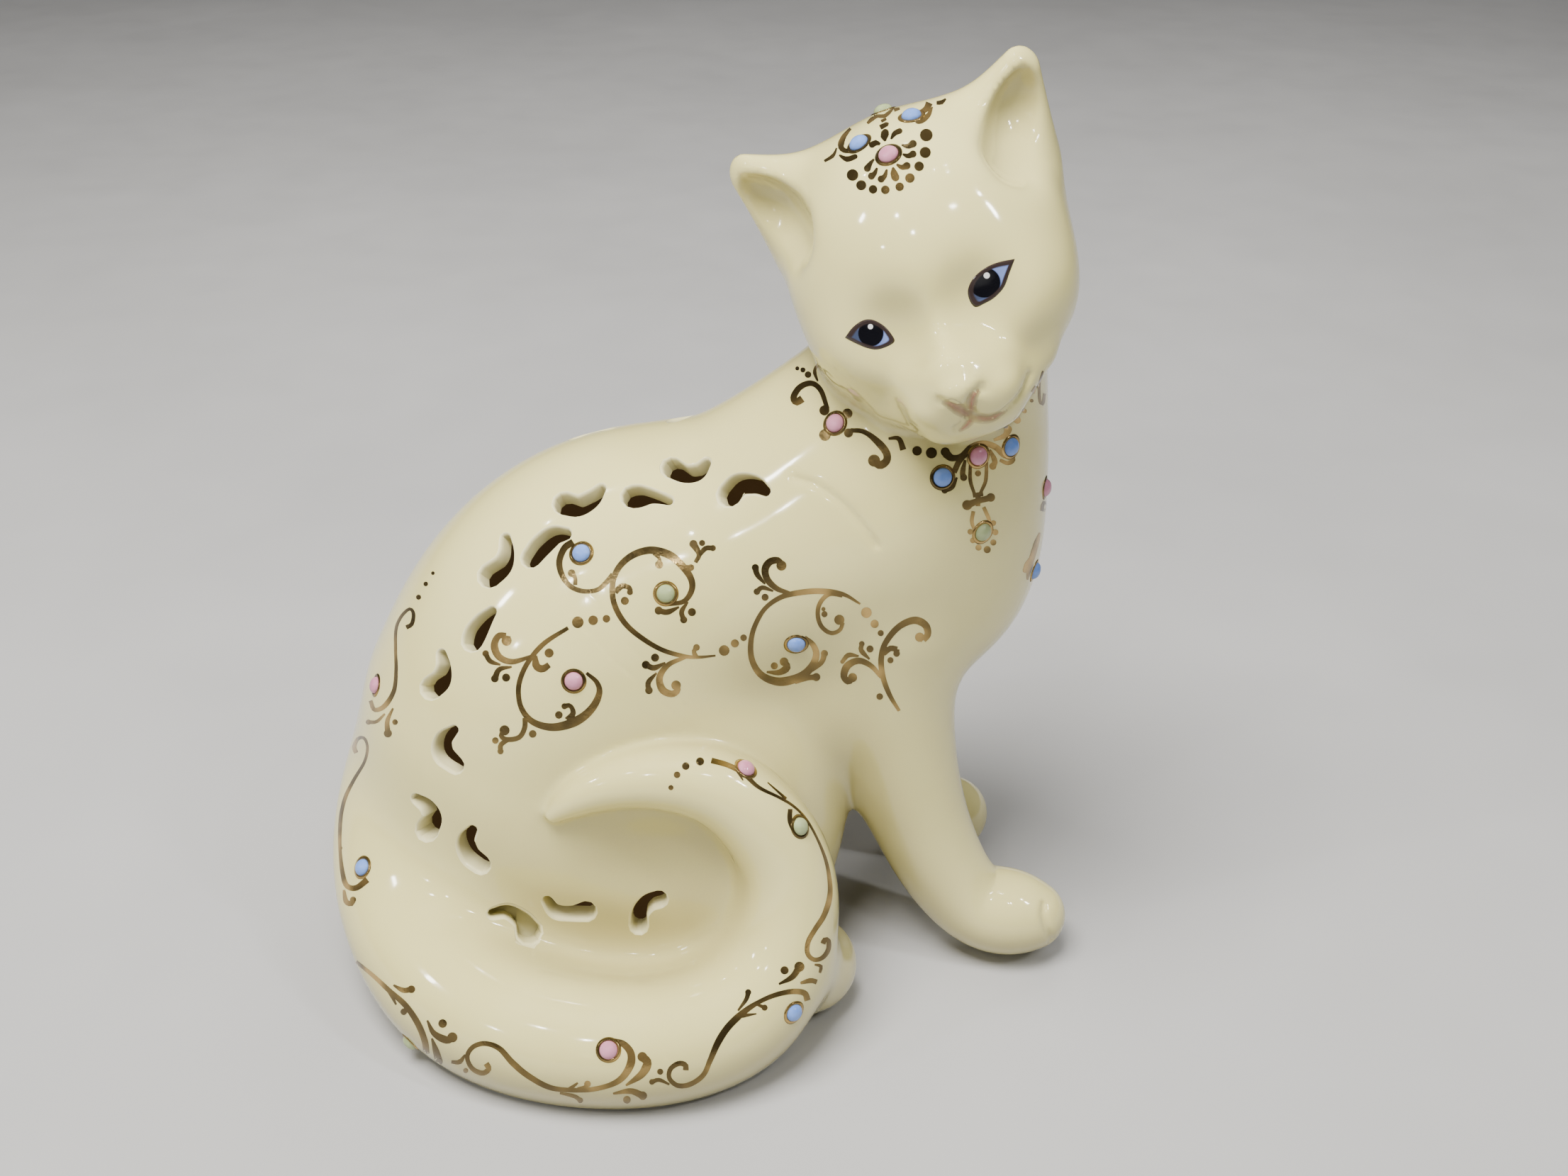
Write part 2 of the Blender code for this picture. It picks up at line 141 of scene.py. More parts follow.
def smooth_path(stations, steps):
    """A Catmull-Rom run through the stations."""
    c = np.array(stations, float)
    c = np.vstack([2 * c[0] - c[1], c, 2 * c[-1] - c[-2]])
    out = []
    for a, b, d, e in zip(c, c[1:], c[2:], c[3:]):
        bend, twist = 2 * a - 5 * b + 4 * d - e, 3 * b - a - 3 * d + e
        for t in np.arange(steps) / steps:
            out.append(0.5 * (2 * b + (d - a) * t + bend * t**2 + twist * t**3))
    out.append(c[-2])
    return np.array(out)


def spline(c):
    """Cubics of a curve through the stations that bends evenly, as rows of (a, b, c, d) for each span."""
    n = len(c)
    ties = 4 * np.eye(n) + np.eye(n, k=1) + np.eye(n, k=-1)
    ties[0, 0] = ties[-1, -1] = 2
    rise = np.vstack([c[1:2] - c[:1], c[2:] - c[:-2], c[-1:] - c[-2:-1]])
    pace = np.linalg.solve(ties, 3 * rise)
    a, b, u, v = c[:-1], c[1:], pace[:-1], pace[1:]
    return np.stack([a, u, 3 * (b - a) - 2 * u - v, 2 * (a - b) + u + v], 1)


def limb(p, stations, steps=4):
    """Distance to a round limb.  Its middle curves through the stations, or runs straight if steps is 0."""
    c = np.array(stations, np.float32)
    low, high = c[:, :3].min(0) - c[:, 3].max(), c[:, :3].max(0) + c[:, 3].max()
    outside = np.maximum(np.maximum(low - p, p - high), 0)
    best = np.sqrt((outside * outside).sum(-1))
    near = best < REACH
    if near.any():
        best[near] = near_limb(p[near], stations, steps)
    return best


def near_limb(p, stations, steps):
    """The same for points near the limb: found on straight pieces first, then on the curve itself."""
    c = np.array(stations, float)
    if not steps:
        return to_pieces(p, c.astype(np.float32), True)[0]
    cubic = spline(c)
    t = np.arange(steps)[:, None] / steps
    c = np.vstack([(k[0] + t * (k[1] + t * (k[2] + t * k[3]))) for k in cubic] + [c[-1:]])
    place = to_pieces(p, c.astype(np.float32), False)[1] / steps
    return to_curve(p, cubic.astype(np.float32), place)


def to_pieces(p, c, slanted):
    """Distance to straight pieces, and how many pieces along the nearest place is.

    Slanted is true where the nearest place allows for the taper, as on a cone.
    """
    best = None
    for i, (a, b) in enumerate(zip(c, c[1:])):
        along, swell = b[:3] - a[:3], b[3] - a[3]
        length = float(along @ along)
        q = p - a[:3]
        t = (q @ along) / length
        if slanted:
            aside = np.sqrt(np.maximum((q * q).sum(-1) - t * t * length, 0))
            t += aside * swell / math.sqrt(max(length - swell * swell, 1e-6)) / math.sqrt(length)
        t = np.clip(t, 0, 1)
        q -= t[..., None] * along
        d = np.sqrt((q * q).sum(-1)) - (a[3] + swell * t)
        if best is None:
            best, place = d, t
        else:
            place = np.where(d < best, i + t, place)
            best = np.minimum(best, d)
    return best, place


def to_curve(p, cubic, place):
    """Distance to a limb along cubics, by Newton's steps from a rough place in spans along them."""
    last = len(cubic)
    best = np.full(len(p), 1e3, np.float32)
    for _ in range(4):
        section = np.clip(place.astype(int), 0, last - 1)
        t = (place - section)[..., None]
        k = cubic[section]
        at = k[..., 0, :] + t * (k[..., 1, :] + t * (k[..., 2, :] + t * k[..., 3, :]))
        way = k[..., 1, :] + t * (2 * k[..., 2, :] + t * 3 * k[..., 3, :])
        bend = 2 * k[..., 2, :3] + t * 6 * k[..., 3, :3]
        gap = p - at[..., :3]
        far = np.sqrt((gap * gap).sum(-1))
        best = np.minimum(best, far - at[..., 3])
        speed = (way[..., :3] ** 2).sum(-1)
        fall = np.maximum(speed - (gap * bend).sum(-1), speed * 0.3)
        move = ((gap * way[..., :3]).sum(-1) + far * way[..., 3]) / fall
        place = np.clip(place + np.clip(move, -0.3, 0.3), 0, last).astype(np.float32)
    return best


def join(a, b, soft):
    """Two shapes as one, with a fillet this wide."""
    h = np.maximum(soft - np.abs(a - b), 0) / soft
    return np.minimum(a, b) - h * h * h * soft / 6


def carve(a, b, soft):
    """The first shape with the second taken out, and the edge rounded."""
    return -join(-a, b, soft)


def add_lump(d, p, centre, half, soft):
    return join(d, ellipsoid(p, centre, half), soft)


def press_lump(d, p, centre, half, soft):
    return carve(d, ellipsoid(p, centre, half), soft)


def ease(t):
    """Rises smoothly from 0 to 1 as t does."""
    t = np.clip(t, 0, 1)
    return t * t * (3 - 2 * t)


def turn(yaw, pitch, roll):
    """The head's axes, from its yaw, pitch and roll in degrees."""
    a, b, c = np.radians([yaw, pitch, roll])
    rz = np.array([[math.cos(a), -math.sin(a), 0], [math.sin(a), math.cos(a), 0], [0, 0, 1]])
    rx = np.array([[1, 0, 0], [0, math.cos(b), -math.sin(b)], [0, math.sin(b), math.cos(b)]])
    ry = np.array([[math.cos(c), 0, math.sin(c)], [0, 1, 0], [-math.sin(c), 0, math.cos(c)]])
    return (rz @ np.diag([-1.0, -1.0, 1.0]) @ rx @ ry).astype(np.float32)


HEAD_AXES = turn(*HEAD_TURN)


def head(p):
    """Distance to the head.  In q its two sides are folded onto one, softly so that no ridge shows."""
    straight = (p - np.float32(HEAD_CENTRE)) @ HEAD_AXES
    q = straight.copy()
    q[..., 0] = np.sqrt(q[..., 0] ** 2 + 6)
    d = ellipsoid(straight, *SKULL)
    d = add_lump(d, q, *CHEEK)
    d = join(d, limb(straight, BRIDGE, 0), 8)
    d = add_lump(d, straight, *MUZZLE)
    d = add_lump(d, q, *LIP)
    d = add_lump(d, straight, *CHIN)
    d = add_lump(d, straight, *NOSE)
    d = join(d, limb(q, JAW, 0), 6)
    d = press_lump(d, q, *SOCKET)
    d = join(d, ear(q), 9)
    soft = np.interp(q[..., 2], [18, 25, 32], [9, 5, 2]).astype(np.float32)
    return carve(d, limb(q, EAR_CUP), soft)


def ear(q):
    """A cone, squashed flat along the way the ear faces."""
    middle = np.float32(EAR_ROOT[:3])
    facing = np.array(EAR_FACING) / np.linalg.norm(EAR_FACING)
    squash = (np.eye(3) + EAR_SQUASH * np.outer(facing, facing)).astype(np.float32)
    tip = (np.float32(EAR_TIP[:3]) - middle) @ squash
    cone = [(0, 0, 0, EAR_ROOT[3]), (*tip, EAR_TIP[3])]
    return limb((q - middle) @ squash, cone, 0) / EAR_STRETCH


def both_sides(p):
    """The points, with those on the right moved to their mirror images on the left."""
    return p * np.float32([1, 0, 1]) + np.abs(p) * np.float32([0, 1, 0])


def torso(p):
    """Distance to the body without its skirt, limbs and head."""
    d = add_lump(limb(p, TRUNK), p, *CHEST)
    d = add_lump(d, p, *RUMP)
    d = add_lump(d, both_sides(p), *HAUNCH)
    return press_lump(d, p, *DISH)


def cat(p):
    """Distance to the outside of the cat."""
    d = add_lump(torso(p), p, *SKIRT)
    d = add_lump(d, p, *ELBOW)
    d = join(d, limb(p, RIGHT_FORELEG, 6), 9)
    d = join(d, limb(p, LEFT_FORELEG), 6)
    d = join(d, limb(both_sides(p), HIND_PAW, 0), 3)
    # The tail grows softly out of the rump, and lies free on the flank.
    soft = 24 - 21 * ease((p[..., 2] - 12) / 34) * ease((p[..., 0] + 66) / 24)
    d = join(d, limb(p, TAIL, 6), soft)
    d = join(d, head(p), 6)
    for run, soft in GROOVES:
        near = ((p > run[:, :3].min(0) - 4) & (p < run[:, :3].max(0) + 4)).all(-1)
        if near.any():
            d[near] = carve(d[near], near_limb(p[near], run, 0), soft)
    return carve(d, p[..., 2], 1.0)


def hollow(p):
    """Distance to the hollow inside the body."""
    d = carve(torso(p), p[..., 2] - 1, 2)
    return carve(d, NECK_TOP - p[..., 2], 2) + WALL


def slope(field, p, step=0.08):
    """Unit gradient of a field."""
    out = np.empty(p.shape)
    for axis in range(3):
        shift = np.zeros(3)
        shift[axis] = step
        out[:, axis] = field(np.float32(p + shift)) - field(np.float32(p - shift))
    return out / (np.linalg.norm(out, axis=1, keepdims=True) + 1e-12)


def settle(field, p, rounds=2):
    """Moves points onto a field's zero surface."""
    for _ in range(rounds):
        p = p - slope(field, p) * field(np.float32(p))[:, None]
    return p


# ---- meshing ----
def band(field, low, high, step, coarse=4):
    """Samples a field on a grid, finely only near its surface."""
    low = np.array(low, float)
    big = step * coarse
    cells = [int(math.ceil((b - a) / big)) for a, b in zip(low, high)]
    axes = [low[i] + big * (np.arange(cells[i]) + 0.5) - step / 2 for i in range(3)]
    centres = np.stack(np.meshgrid(*axes, indexing="ij"), -1).astype(np.float32)
    rough = field(centres.reshape(-1, 3)).reshape(cells)
    near = np.argwhere(np.abs(rough) < big * 1.05)
    grid = np.repeat(np.repeat(np.repeat(rough, coarse, 0), coarse, 1), coarse, 2)
    offsets = np.stack(np.meshgrid(*[np.arange(coarse)] * 3, indexing="ij"), -1).reshape(-1, 3)
    spots = (near[:, None, :] * coarse + offsets[None]).reshape(-1, 3)
    for start in range(0, len(spots), BATCH):
        part = spots[start : start + BATCH]
        grid[tuple(part.T)] = field(np.float32(low + part * step))
    return grid, low


def nets(grid, low, step):
    """Surface nets: one vertex in each cell the surface crosses."""
    inside = grid < 0
    nx, ny, nz = grid.shape
    corners = [(i, j, k) for i in (0, 1) for j in (0, 1) for k in (0, 1)]
    count = np.zeros((nx - 1, ny - 1, nz - 1), np.int8)
    for i, j, k in corners:
        count += inside[i : nx - 1 + i, j : ny - 1 + j, k : nz - 1 + k]
    cells = np.argwhere((count > 0) & (count < 8))
    index = -np.ones(count.shape, np.int64)
    index[tuple(cells.T)] = np.arange(len(cells))
    total = np.zeros((len(cells), 3))
    hits = np.zeros(len(cells))
    value = {c: grid[tuple((cells + c).T)].astype(float) for c in corners}
    for c in corners:
        for axis in range(3):
            if c[axis]:
                continue
            other = tuple(1 if i == axis else c[i] for i in range(3))
            a, b = value[c], value[other]
            cross = (a < 0) != (b < 0)
            spot = np.tile(np.array(c, float), (len(cells), 1))
            spot[:, axis] += np.where(cross, a / (a - b + 1e-30), 0)
            total += spot * cross[:, None]
            hits += cross
    verts = (cells + total / hits[:, None]) * step + low
    faces = []
    for axis in range(3):
        u, w = (axis + 1) % 3, (axis + 2) % 3
        first = [slice(None)] * 3
        second = [slice(None)] * 3
        first[axis], second[axis] = slice(0, -1), slice(1, None)
        a, b = inside[tuple(first)], inside[tuple(second)]
        edges = np.argwhere(a != b)
        edges = edges[(edges[:, u] > 0) & (edges[:, w] > 0)]
        edges = edges[(edges[:, u] < grid.shape[u] - 1) & (edges[:, w] < grid.shape[w] - 1)]
        du, dw = np.eye(3, dtype=int)[u], np.eye(3, dtype=int)[w]
        quads = np.stack([index[tuple((edges - o).T)] for o in (0 * du, du, du + dw, dw)], 1)
        outward = a[tuple(edges.T)]
        quads[~outward] = quads[~outward][:, ::-1]
        faces.append(quads)
    return verts, np.concatenate(faces)


def new_object(name, data):
    made = bpy.data.objects.new(name, data)
    bpy.context.scene.collection.objects.link(made)
    return made


def corner_verts(mesh):
    """The vertex number at each corner of the faces."""
    corner = np.zeros(len(mesh.loops), np.int32)
    mesh.loops.foreach_get("vertex_index", corner)
    return corner


def make_mesh(name, verts, faces, material, uvs=None):
    """A smooth-shaded object from points in millimetres."""
    mesh = bpy.data.meshes.new(name)
    mesh.from_pydata((np.asarray(verts) * MM).tolist(), [], [list(map(int, f)) for f in faces])
    if uvs is not None:
        layer = mesh.uv_layers.new(name="flat")
        layer.data.foreach_set("uv", np.float32(uvs)[corner_verts(mesh)].ravel())
    mesh.shade_smooth()
    mesh.materials.append(material)
    return new_object(name, mesh)


def orient(target):
    """Turns every face of a closed mesh outward."""
    mesh = bmesh.new()
    mesh.from_mesh(target.data)
    bmesh.ops.recalc_face_normals(mesh, faces=mesh.faces)
    mesh.to_mesh(target.data)
    mesh.free()


def ring_rows(count, levels, first=0):
    """Vertex numbers of rings that follow one another."""
    return [range(first + k * count, first + (k + 1) * count) for k in range(levels)]


def walls(rows):
    """Quads between each ring and the next."""
    return [(a[i - 1], a[i], b[i], b[i - 1]) for a, b in zip(rows, rows[1:]) for i in range(len(a))]


def fan(tip, ring):
    """Triangles from a tip to a ring."""
    return [(tip, ring[i - 1], ring[i]) for i in range(len(ring))]


# ---- wrapping drawings onto the cat ----
FLIP = np.array([1.0, -1.0, 1.0])
MARCH_START, MARCH_STEPS = 200.0, 48  # a sight line is searched from this far along it


def wrap(points, left=False):
    """Sheet points to points and outward directions on the cat, or on its left side as a mirror image."""
    points = np.atleast_2d(np.array(points, float))
    eye = EYE_POINT * FLIP if left else EYE_POINT
    target = SHEET_CENTRE + np.outer(points[:, 0], [1, 0, 0]) + np.outer(points[:, 1], SHEET_UP)
    if left:
        target = target * FLIP
    ray = target - eye
    ray /= np.linalg.norm(ray, axis=1, keepdims=True)
    reach = np.full(len(points), MARCH_START)
    best, best_gap = reach.copy(), np.full(len(points), 1e9)
    for _ in range(MARCH_STEPS):
        gap = cat(np.float32(eye + ray * reach[:, None]))
        closer = gap < best_gap
        best = np.where(closer, reach, best)
        best_gap = np.where(closer, gap, best_gap)
        reach = reach + np.where(best_gap < 0.01, 0, np.maximum(gap * 0.85, 0.02))
    spot = settle(cat, eye + ray * best[:, None], 3)
    return spot, slope(cat, spot)


# ---- drawings: every point is a place on the sheet ----
# Creases pressed into the clay: (points, radius of the tool, how soft its edge is).
CREASES = [
    ([(36.3, 33.7), (39, 33.1), (42, 33.7), (44.6, 35.8), (46.8, 38.4), (48.2, 41.4)], 0.45, 1.8),
    ([(36.3, 33.7), (35.2, 32.2), (33.6, 31)], 0.4, 1.6),
    ([(30.4, 36.4), (33.2, 35.2), (36.3, 33.8)], 0.45, 1.8),
    ([(36.3, 33.8), (36.4, 35.6), (36.9, 37.4), (38.8, 39)], 0.35, 2.4),
    ([(2, 21.6), (6, 20.2), (10, 17.6), (14, 13.8), (18, 8.4)], 0.02, 2.4),
    ([(50.8, -62), (50.7, -64), (51.3, -66.5), (52.4, -69)], 0.3, 2),
]
# Piercings: each is a midline from tail to head with the width of the opening along it.
PIERCINGS = [
    ([(-3.8, 19), (-6, 20.2), (-9, 20.2), (-10.8, 18.2)], [1.2, 2.6, 3.2, 3.6]),
    ([(-15.3, 24.5), (-17, 22.7), (-19.5, 22.4), (-22, 23.6)], [0.9, 2.2, 2.4, 3]),
    ([(-22.5, 17.1), (-25.5, 17.9), (-28, 18), (-29.6, 17.9)], [0.6, 1.6, 3.2, 3.4]),
    ([(-35.8, 19.5), (-37.6, 17.5), (-40.3, 16.1), (-43, 16.6)], [0.9, 2.4, 3, 3.4]),
    ([(-42.8, 10.6), (-45.2, 10.2), (-47.6, 8.2), (-49.5, 5.9)], [1.4, 2.8, 3.2, 2.8]),
    ([(-54.5, 9.8), (-54.3, 7), (-55.2, 4.4), (-57.6, 2.4)], [0.9, 1.9, 3, 3.6]),
    ([(-57.2, -4.6), (-58.9, -6.6), (-60.3, -8.8), (-61, -10.4)], [0.9, 2.4, 3.2, 3]),
    ([(-67, -12.9), (-66.6, -15.5), (-67.2, -18), (-69, -19.6)], [0.8, 1.8, 3, 3.4]),
    ([(-64.6, -27.8), (-66.6, -29.8), (-66.6, -32.4), (-64.2, -34.7)], [0.8, 2.4, 3, 2.2]),
    ([(-72, -41.2), (-69.8, -42.8), (-68.8, -45), (-69.8, -47.3)], [0.9, 1.9, 2.6, 3.4]),
    ([(-61, -47.4), (-62.2, -49.6), (-61.4, -52.2), (-59.2, -54.1)], [0.9, 2.4, 2.8, 2.6]),
]
BOWL_PIERCINGS = [
    ([(-57, -63.6), (-54, -63.2), (-51.2, -64.9), (-49.8, -67.2)], [0.9, 1.6, 2.4, 4]),
    ([(-46.3, -61.2), (-44.6, -63.2), (-41.5, -63.6), (-38.6, -63.2)], [0.9, 1.6, 1.8, 2.8]),
    ([(-24.4, -60.8), (-26.6, -61.6), (-28.2, -63.6), (-28.4, -66)], [2.2, 2.2, 2.2, 2.4]),
]
# The left flank leaves out the two that would line up with openings of the right one.
LEFT_PIERCINGS = PIERCINGS[:8] + PIERCINGS[10:]

# Gold strokes: (points, widths spread evenly along the stroke, radius of the ball that ends it).
# Dots: (x, y, radius).
FLANK = [
    # the scroll round the pink bead
    ([(-38.6, -16.6), (-36.6, -18.4), (-36.1, -20.6), (-37.6, -23.6), (-40.6, -26), (-45, -27.2),
     (-49, -26.2), (-51.3, -23.5), (-51.9, -20), (-51.2, -16.8), (-49.4, -13.6), (-46.6, -10.6),
     (-42.2, -7.8)], [0.5, 1.1, 1.5, 1.1, 0.8, 0.8, 0.8, 0.6], 0),
    ([(-49.2, -13.3), (-53, -14.4), (-55.6, -13.5), (-56.6, -11.3), (-55.8, -9.4), (-54.3, -9.3)],
     [0.5, 0.9, 1.2, 0.9], 0),
    ([(-54.2, -9.4), (-54.2, -10.3)], [1.2, 1.4], 1),
    ([(-48.6, -13.2), (-48.4, -15.2), (-47.2, -15.8), (-45.9, -15)], [0.6, 1.2, 1.2, 0.9], 0),
    ([(-55.4, -15), (-57.4, -14.3), (-58.3, -12.8)], [0.3, 0.8, 0.8], 0.65),
    ([(-53.2, -15.4), (-55.6, -15.9), (-56.5, -17.7)], [0.3, 0.8, 1], 0.75),
    ([(-50.6, -25.4), (-50.7, -27.4), (-51.8, -29.2), (-54.2, -29.6), (-55.3, -28.8), (-54.6, -27.8)],
     [0.8, 0.8, 0.8, 0.7], 1),
    ([(-53.8, -29.6), (-55.3, -30.6), (-55.4, -31.9)], [0.6, 0.8, 0.8], 0.6),
    ([(-42.2, -25.9), (-41.2, -24.4), (-41.8, -23), (-42.9, -23.1)], [1.3, 0.9, 0.7, 0.8], 0.6),
    # the scroll round the green bead, and its flourish
    ([(-22.6, -3.2), (-19.6, -2.6), (-18.1, -0.6), (-18.1, 1.6), (-19.6, 4), (-22.3, 6.4), (-26, 7.4),
     (-29.6, 6.4), (-32.3, 4), (-33.5, 0.8), (-33.2, -3), (-31.3, -6.6), (-28.3, -9.4), (-24, -12),
     (-19.6, -13.3), (-16.6, -13.5), (-13.4, -13.2)], [0.6, 1, 1.3, 1.1, 0.9, 0.9, 0.8, 0.7, 0.3], 0),
    ([(-19.6, 4), (-18.2, 4)], [0.9, 0.8], 0.65),
    ([(-17.3, 5), (-16.6, 6.6), (-17.7, 8.6)], [0.6, 0.8, 1.2], 0.8),
    ([(-16.8, 6), (-15.4, 7.7), (-13.9, 7.8)], [0.5, 0.8, 0.8], 0.6),
    ([(-25.2, 6.9), (-24.4, 5.8), (-24.4, 4.6)], [1, 0.5, 0.8], 0.8),
    # the small scroll round the blue bead
    ([(-41.2, 9), (-42.9, 7.8), (-43.9, 5.2), (-43.4, 2.6), (-41.8, 0.4), (-39.4, -0.6), (-36.6, -0.4),
     (-34.8, 1), (-33.4, 2.6)], [1.1, 1, 0.8, 0.7, 0.9], 0),
    ([(-40.8, 0.6), (-40.8, 2), (-41.5, 2.9)], [0.7, 0.6, 0.8], 0.75),
    ([(-33, -0.8), (-31.6, 0.4), (-30.2, 0), (-30.1, -0.8)], [0.9, 0.9, 0.8, 0.8], 0.6),
    ([(-20.5, -3.7), (-22.8, -4.7), (-24.5, -4.4)], [0.3, 0.9, 0.9], 0.8),
    ([(-18.8, -2.7), (-20, -4.6), (-19.6, -6.2)], [0.3, 0.8, 0.8], 0.7),
    ([(-19.2, -13.5), (-22.6, -15), (-24.3, -17.4), (-23.8, -19.8), (-22, -20.7), (-20.8, -20),
     (-21.1, -19)], [0.5, 0.9, 1.2, 0.9], 0.95),
    ([(-17.2, -13.5), (-17.6, -12.4), (-17.1, -11.6)], [0.8, 0.7, 0.7], 0.65),
    ([(-23.2, -14.6), (-25.4, -15.6), (-27, -15)], [0.3, 0.9, 0.9], 0.8),
    ([(-24.9, -16.6), (-26.5, -18.4), (-26.4, -20)], [0.3, 0.8, 0.9], 0.75),
    # the scroll round the second blue bead
    ([(4, -9.7), (5.6, -11), (6.3, -13), (5.4, -15.4), (3, -17.4), (-1, -18.3), (-4.4, -17),
     (-6.2, -14.2), (-6.5, -10.8), (-5.7, -7.4), (-3.7, -4), (-0.6, -1.8), (3, -0.9), (7, -0.6),
     (11.5, -1.2), (14.9, -3.1)], [0.7, 1.2, 1.4, 1, 0.8, 0.7, 0.9, 0.9, 0.3], 0),
    ([(1, -1), (-1.4, -0.1), (-3.2, 1.6), (-3.7, 3.6), (-2.8, 5.1), (-1.2, 5.4), (-0.5, 4.4)],
     [0.6, 1, 1.2, 1], 1),
    ([(-3.7, 0.8), (-5.2, 2.6), (-5.6, 4)], [0.3, 0.8, 1], 0.7),
    ([(-2.1, -0.6), (-4.2, 0.1), (-5.3, -0.7)], [0.3, 0.7, 0.8], 0.65),
    ([(11.4, -1.4), (8.8, -1.2), (7, -3), (6.6, -5.4), (7.4, -7.6), (9.2, -8.8), (10.9, -8.2),
     (11.5, -6.8)], [0.7, 0.7, 0.7, 0.6], 0),
    ([(11.4, -7), (10.8, -6.2)], [0.7, 0.9], 1),
    ([(-3.4, -16.4), (-1, -16.5), (0.6, -15.5), (0, -14.4)], [0.3, 0.8, 1.2, 1], 0.85),
    ([(5.6, -16.2), (7.4, -14.4), (7.9, -12.8)], [0.3, 0.8, 0.9], 0.7),
    ([(2.2, -18.6), (4.6, -17.6), (6.3, -17.4)], [0.3, 0.7, 1], 0.8),
    # the sprig on the shoulder
    ([(22.5, -24), (20.6, -20.8), (19.3, -17.2), (19, -13.6), (19.9, -10.6), (22.4, -7.6), (25.4, -6.3),
     (27.6, -7.2), (28.1, -9), (27.2, -10.1)], [0.5, 0.8, 0.9, 0.9, 1, 1.2, 1], 0),
    ([(27.2, -10.1), (26.5, -9.6)], [0.9, 0.9], 0.9),
    ([(19, -17.4), (17, -15.2), (14.6, -14.2), (12.4, -15.2), (11.7, -17.2), (12.6, -18.3),
     (13.4, -17.5)], [0.6, 0.9, 1.2, 0.9], 0.9),
    ([(14.6, -13.3), (12.6, -13.1), (11.4, -14.4)], [0.3, 0.8, 0.6], 0.4),
    ([(16.7, -13.9), (15.1, -12.2), (15.2, -10.9)], [0.3, 0.8, 0.7], 0.55),
    ([(19.4, -12.8), (20.8, -11.8), (22.1, -12)], [0.9, 0.9, 0.9], 0),
    ([(22, -12), (22, -12.8)], [0.9, 0.9], 0.65),
]
FLANK_DOTS = [
    (-45.9, -12.7, 0.9), (-54.3, -17.5, 0.8), (-56.4, -29.8, 0.65), (-49.1, -28.5, 0.75),
    (-44, -24.8, 0.75), (-40.3, -6.7, 1.15), (-37.3, -6.3, 0.95), (-34.7, -6, 0.75), (-16, 8.8, 0.6),
    (-31.1, -2.5, 0.8), (-18, -4.7, 0.8), (-25.2, -13.6, 0.8), (-11.7, -12.2, 1.05), (-9.6, -10.8, 0.8),
    (-7.9, -9.7, 0.65), (-3.7, -1.8, 0.7), (7.7, -4.1, 0.4), (7.9, -5.1, 0.6), (-1.9, -15.2, 0.7),
    (16.1, -4.8, 1.05), (17.7, -7, 0.8), (18.9, -8.8, 0.6), (20.8, -14.1, 0.6), (16.8, -11.9, 0.7),
    (18.7, -21.2, 0.65),
]
BACK = [
    ([(-73.8, -7.7), (-72.7, -7), (-72.4, -5), (-73.2, -4.1), (-74.8, -5.6), (-75.8, -8), (-75.9, -12),
     (-75.8, -16), (-76.2, -20), (-78, -23), (-80, -23.8), (-80.8, -22)],
     [0.7, 0.5, 0.5, 0.5, 0.6, 0.8, 0.6], 0),
    ([(-78, -24.6), (-79.6, -26.1), (-81.2, -26.2)], [0.3, 0.5, 0.6], 0.5),
    ([(-76.4, -23.5), (-77.5, -26), (-77.4, -28.4)], [0.3, 0.7, 0.9], 0.8),
    ([(-83.6, -32.2), (-84, -31), (-83.2, -29.4), (-82, -29.4), (-81.4, -31.2), (-82, -34), (-84, -37.4),
     (-85.6, -40.6), (-86.5, -44), (-86.8, -48), (-86.7, -52), (-86.2, -56), (-85.4, -58.2),
     (-83.6, -58.6), (-81.4, -57)], [0.7, 0.4, 0.5, 0.6, 0.6, 0.5, 0.8, 1], 0),
    ([(-86, -59), (-85.6, -61.2), (-84.6, -61.7), (-84.2, -60.9)], [0.4, 0.8, 0.9], 0.6),
]
BACK_DOTS = [
    (-68.6, 2.9, 0.35), (-70, 0.8, 0.45), (-71.4, -1.8, 0.5), (-76, -26.2, 0.55), (-86.7, -50.8, 0.4),
]
